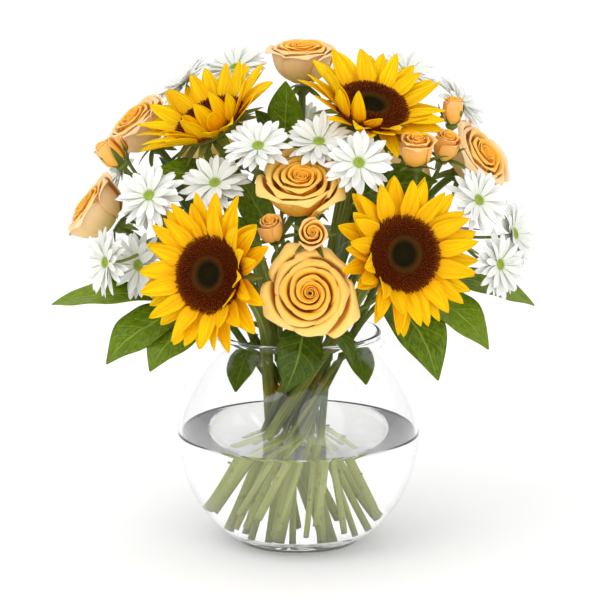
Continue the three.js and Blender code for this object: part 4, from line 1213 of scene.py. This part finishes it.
for number, (name, fork, buds) in enumerate(BUD_SPRAYS):
    generator = chance_of("bud_stem", number)
    stem = STEMS[name]
    path = stem.path()
    green = [tube(path, stem.radius, 12, generator.random()),
             thorns(path, stem.radius, BUD_THORNS, generator)]
    for order, (place, face, radius, opening) in enumerate(buds, 1):
        green.append(twig(stem, place, face, 1.22 * radius + 3.4, BUD_TWIG, 10, generator))
        bud_number = 10 * number + order
        green.append(planted(bud_calyx(radius, opening, chance_of("bud_calyx", bud_number)), place, face))
        points, faces, growth = rose_head(BUD_PETALS, 0.1 + 0.7 * opening, chance_of("bud", bud_number),
                                          18.5 + 8 * opening, *BUD_GRID)
        bud = planted((points + [0, 0, BUD_LIFT], faces, growth), place, face, radius / BUD_DRAWN_RADIUS)
        make_piece(f"{name}_bloom_{order}", bud, BUD_PEACH, f"{name}_bud_{order}",
                   thick=BUD_THICKNESS)
    make_piece(name + "_green", join(green), SEPAL_GREEN, name + "_stem")
    add_stem_leaves(stem, generator, ROSE_TEETH, ROSE_LEAF_GREEN, name + "_stem")
print("bud sprays:", len(BUD_SPRAYS))

# %% [markdown]
# ## Daisies
#
# Each head has three rings of slender white petals round a green eye. The eye is a small dome of florets in
# the same golden spiral as the sunflower's disc. All heads of a spray share three pieces: petals, eyes and
# greens.

# %% Daisy sprays
EYE_FLORETS, EYE_RADIUS, DAISY_THICKNESS, DAISY_TWIG = 90, 4.8, 0.4, 1.3
# For each ring of petals: how many, height, tilt and length.
DAISY_RINGS = ((11, 0.7, 22, 21.5), (12, 0.0, 11, 24.0), (12, -0.6, 2, 25.5))


def daisy_petals(generator):
    """Three rings of petals, the upper ones shorter, each petal with its own bend."""
    rings = []
    for count, height, lift, length in DAISY_RINGS:
        azimuth = petal_angles(generator, count, 0.22, 0.5 * lift)
        rings.append(blades(
            azimuth, 3.2, height, length * generator.uniform(0.9, 1.06, count),
            generator.uniform(2.8, 3.7, count), lift + wobble(generator, count, 9), petal_outline,
            curl=generator.uniform(-32, 16, count), twist=wobble(generator, count, 24),
            sway=wobble(generator, count, 2.0), cup=generator.uniform(0.1, 0.4, count), pleat=0.14,
            chance=generator.random(count)))
    return join(rings)


def daisy_eye(generator):
    """A dome of small green florets."""
    share, r, angle = golden_spiral(EYE_FLORETS, 4.6)
    spots = triples(r * np.cos(angle), r * np.sin(angle), 2.2 - 0.1 * r * r)
    directions = unit(spots * [0.35, 0.35, 0] + [0, 0, 1])
    florets = sprouts(spots, directions, 1.5, 0.3, generator.random(EYE_FLORETS), share, sides=4)
    dome_line = [[r, 2.6 - 0.1 * r * r] for r in np.linspace(EYE_RADIUS, 0, 6)]
    return join([florets, core([[0, -2.0], [2.4, -2.0], [4.4, -0.4]] + dome_line, 20, EYE_RADIUS, 0.5)])


for number, (name, fork, heads) in enumerate(DAISY_SPRAYS):
    generator = chance_of("daisy_stem", number)
    stem = STEMS[name]
    green = [tube(stem.path(), stem.radius, 12, generator.random())]
    petals, eyes = [], []
    for order, (place, face) in enumerate(heads):
        green.append(twig(stem, place, face, 1, DAISY_TWIG, 8, generator))
        petals.append(planted(daisy_petals(chance_of("daisy", 10 * number + order)), place, face))
        eyes.append(planted(daisy_eye(chance_of("eye", 10 * number + order)), place, face))
    make_piece(name + "_petals", join(petals), DAISY_WHITE, name, thick=DAISY_THICKNESS)
    make_piece(name + "_eyes", join(eyes), EYE_GREEN, name)
    make_piece(name + "_green", join(green), STEM_GREEN, name)
    add_stem_leaves(stem, generator, 0.0, LEAF_GREEN, name)
print("daisy sprays:", len(DAISY_SPRAYS))

# %% [markdown]
# ## Foliage
#
# Leafy branches fill the collar and the gaps between the blooms. A branch is a short straight tube that
# starts just inside the end of its stem, and each leaf starts at a share of it.

# %% Foliage sprigs
BRANCH_RADIUS, BRANCH_POINTS, BRANCH_START = 1.6, 8, 2

for number, (name, route, leaves) in enumerate(SPRIGS):
    generator = chance_of("sprig", number)
    stem = STEMS[name]
    fork, end = np.array(route, float)
    start = fork - unit(end - fork) * BRANCH_START

    def branch(share):
        return start + (end - start) * share

    green = [tube(stem.path(), stem.radius, 12, generator.random()),
             tube(branch(shares(BRANCH_POINTS)), BRANCH_RADIUS, 10, generator.random())]
    make_piece(name + "_leaves", leaves_on(branch, leaves, generator), LEAF_GREEN, name,
               thick=LEAF_THICKNESS)
    make_piece(name + "_green", join(green), STEM_GREEN, name)
print("sprigs:", len(SPRIGS))

# %% [markdown]
# ## Glass and water
#
# The globe is turned from one profile: a thin wall between two ellipses, a thick floor and a rolled rim.
# Light must bend as it does in the real thing, where the water touches the glass. So the skin of the water
# reaches 0.4 mm into the glass, with no film of air between them, and its upper edge climbs the wall a
# little.

# %% Vase and water
GLOBE = {"radius": 100, "tall": 107, "equator": 93.5, "height": 178, "foot": 46, "lip": 67.5, "wall": 3,
         "floor": 12}
WATER_LEVEL = 93.5
WALL_TOP, BEAD_RADIUS, SMOOTH_SIDES = 172, 2.2, 160
CLEAR, GLASS_INDEX, WATER_INDEX = (0.995, 0.998, 0.997, 1), 1.46, 1.333


def globe_radius(z, inset):
    """Radius at a height of the ellipse that lies inset inside the outer one."""
    reach = (z - GLOBE["equator"]) / (GLOBE["tall"] - inset)
    return (GLOBE["radius"] - inset) * np.sqrt(np.maximum(0, 1 - reach * reach))


def arc(centre, radius, start, stop, count):
    """Points on a circle in the profile's plane, between two angles in degrees."""
    angle = np.radians(np.linspace(start, stop, count))
    return np.stack([centre[0] + radius * np.cos(angle), centre[1] + radius * np.sin(angle)], axis=1)


def wall_line(low, high, inset, count):
    """Points up the wall from one height to another, closer together near the foot."""
    z = low + (high - low) * np.linspace(0, 1, count) ** 1.3
    return np.stack([globe_radius(z, inset), z], axis=1)


def vase_profile(floor_edge):
    """Foot, outside, rolled rim, inside and floor, from the axis out and back to it."""
    foot, floor = GLOBE["foot"], GLOBE["floor"]
    under = [[0, 1.2], [30, 1.0], [40, 0.2], [foot - 3, 0.0], [foot, 0.6]]
    outside = wall_line(2.5, WALL_TOP, 0, 44)
    bead = arc([GLOBE["lip"] - 1.6, GLOBE["height"] - BEAD_RADIUS], BEAD_RADIUS, -40, 200, 14)
    inside = wall_line(floor + 3, WALL_TOP, GLOBE["wall"], 40)[::-1]
    bottom = [[floor_edge + 1.5, floor + 1], [floor_edge - 2, floor], [0, floor - 0.5]]
    return np.concatenate([under, outside, bead, inside, bottom])


def water_profile(floor_edge):
    """Floor, side and surface, from the axis out and back to it. Its skin reaches 0.4 mm into the glass."""
    floor, skin = GLOBE["floor"], GLOBE["wall"] - 0.4
    bottom = [[0, floor - 0.9], [floor_edge - 2, floor - 0.4], [floor_edge + 1.7, floor + 0.6]]
    side = wall_line(floor + 2.6, WATER_LEVEL + 1.4, skin, 34)
    wall = globe_radius(WATER_LEVEL, GLOBE["wall"])
    meniscus = [[wall - 0.4, WATER_LEVEL + 1.0], [wall - 1.2, WATER_LEVEL + 0.3], [wall - 2.6, WATER_LEVEL]]
    return np.concatenate([bottom, side, meniscus, [[0, WATER_LEVEL]]])


def clear_finish(name, index):
    """A smooth clear finish that bends light by its refractive index."""
    constants = {"Roughness": 0.0, "IOR": index, "Transmission Weight": 1.0, "Base Color": CLEAR}
    return Finish(name, constants).material


floor_edge = globe_radius(GLOBE["floor"], GLOBE["wall"] + 6)
glass, water = turned(vase_profile(floor_edge), SMOOTH_SIDES), turned(water_profile(floor_edge), SMOOTH_SIDES)
make_piece("glass_globe", glass, clear_finish("vase_glass", GLASS_INDEX), "vase")
make_piece("vase_water", water, clear_finish("water", WATER_INDEX), "water")
print("wall", GLOBE["wall"], "mm, water to", WATER_LEVEL, "mm")

# %% [markdown]
# ## Floor and light
#
# The bouquet stands on a pale floor that curves up into a backdrop. A nearly white world gives most of the
# light. A large soft lamp at the upper left draws the shadows, and a second one in front, low and a little
# to the right, fills them. A plain view transform keeps yellow petals yellow and white ones white.

# %% Studio
SWEEP_HALF_WIDTH, SWEEP_TOP, BEND_START, BEND_RADIUS = 6000.0, 5000, 2600, 900
LIT_POINT = np.array([0, 0, 0.25])
WORLD_STRENGTH, FLOOR_GLOW, WHITE = 0.95, 0.16, (1, 1, 1, 1)


def studio_sweep():
    """A floor that bends up into a wall behind: a profile in y and z, drawn out along x."""
    bend = arc([BEND_START, BEND_RADIUS], BEND_RADIUS, -90, 0, 12)
    profile = np.concatenate([[[-SWEEP_HALF_WIDTH, 0]], bend, [[BEND_START + BEND_RADIUS, SWEEP_TOP]]])
    points = triples([-SWEEP_HALF_WIDTH, SWEEP_HALF_WIDTH], profile[:, :1], profile[:, 1:])
    return points.reshape(-1, 3), [grid_faces(len(profile), 2)]


def soft_light(name, place, size, power):
    """A round lamp at a place in metres, turned to the lit point: size in metres and power in watts."""
    light = bpy.data.lights.new(name, "AREA")
    light.shape, light.size, light.energy = "DISK", size, power
    lamp = bpy.data.objects.new(name, light)
    x, y, z = np.array(place) - LIT_POINT
    lamp.location = place
    lamp.rotation_euler = (math.atan2(math.hypot(x, y), z), 0, math.atan2(y, x) + math.pi / 2)
    bpy.context.scene.collection.objects.link(lamp)


studio_white = Finish("studio_white", {
    "Roughness": 1.0, "Specular IOR Level": 0.0, "Base Color": (0.90, 0.90, 0.90, 1),
    "Emission Color": WHITE, "Emission Strength": FLOOR_GLOW,
})
sweep = new_object("studio_sweep", *studio_sweep(), studio_white.material)
soft_light("key", (-1.2, -1.4, 2.2), 1.9, 16)
soft_light("fill", (0.9, -2.2, 0.8), 2.0, 12)
world = bpy.data.worlds.new("studio")
world.use_nodes = True
world.node_tree.nodes["Background"].inputs["Color"].default_value = WHITE
world.node_tree.nodes["Background"].inputs["Strength"].default_value = WORLD_STRENGTH
bpy.context.scene.world = world
bpy.context.scene.view_settings.view_transform = "Standard"
print("lights: key and fill")
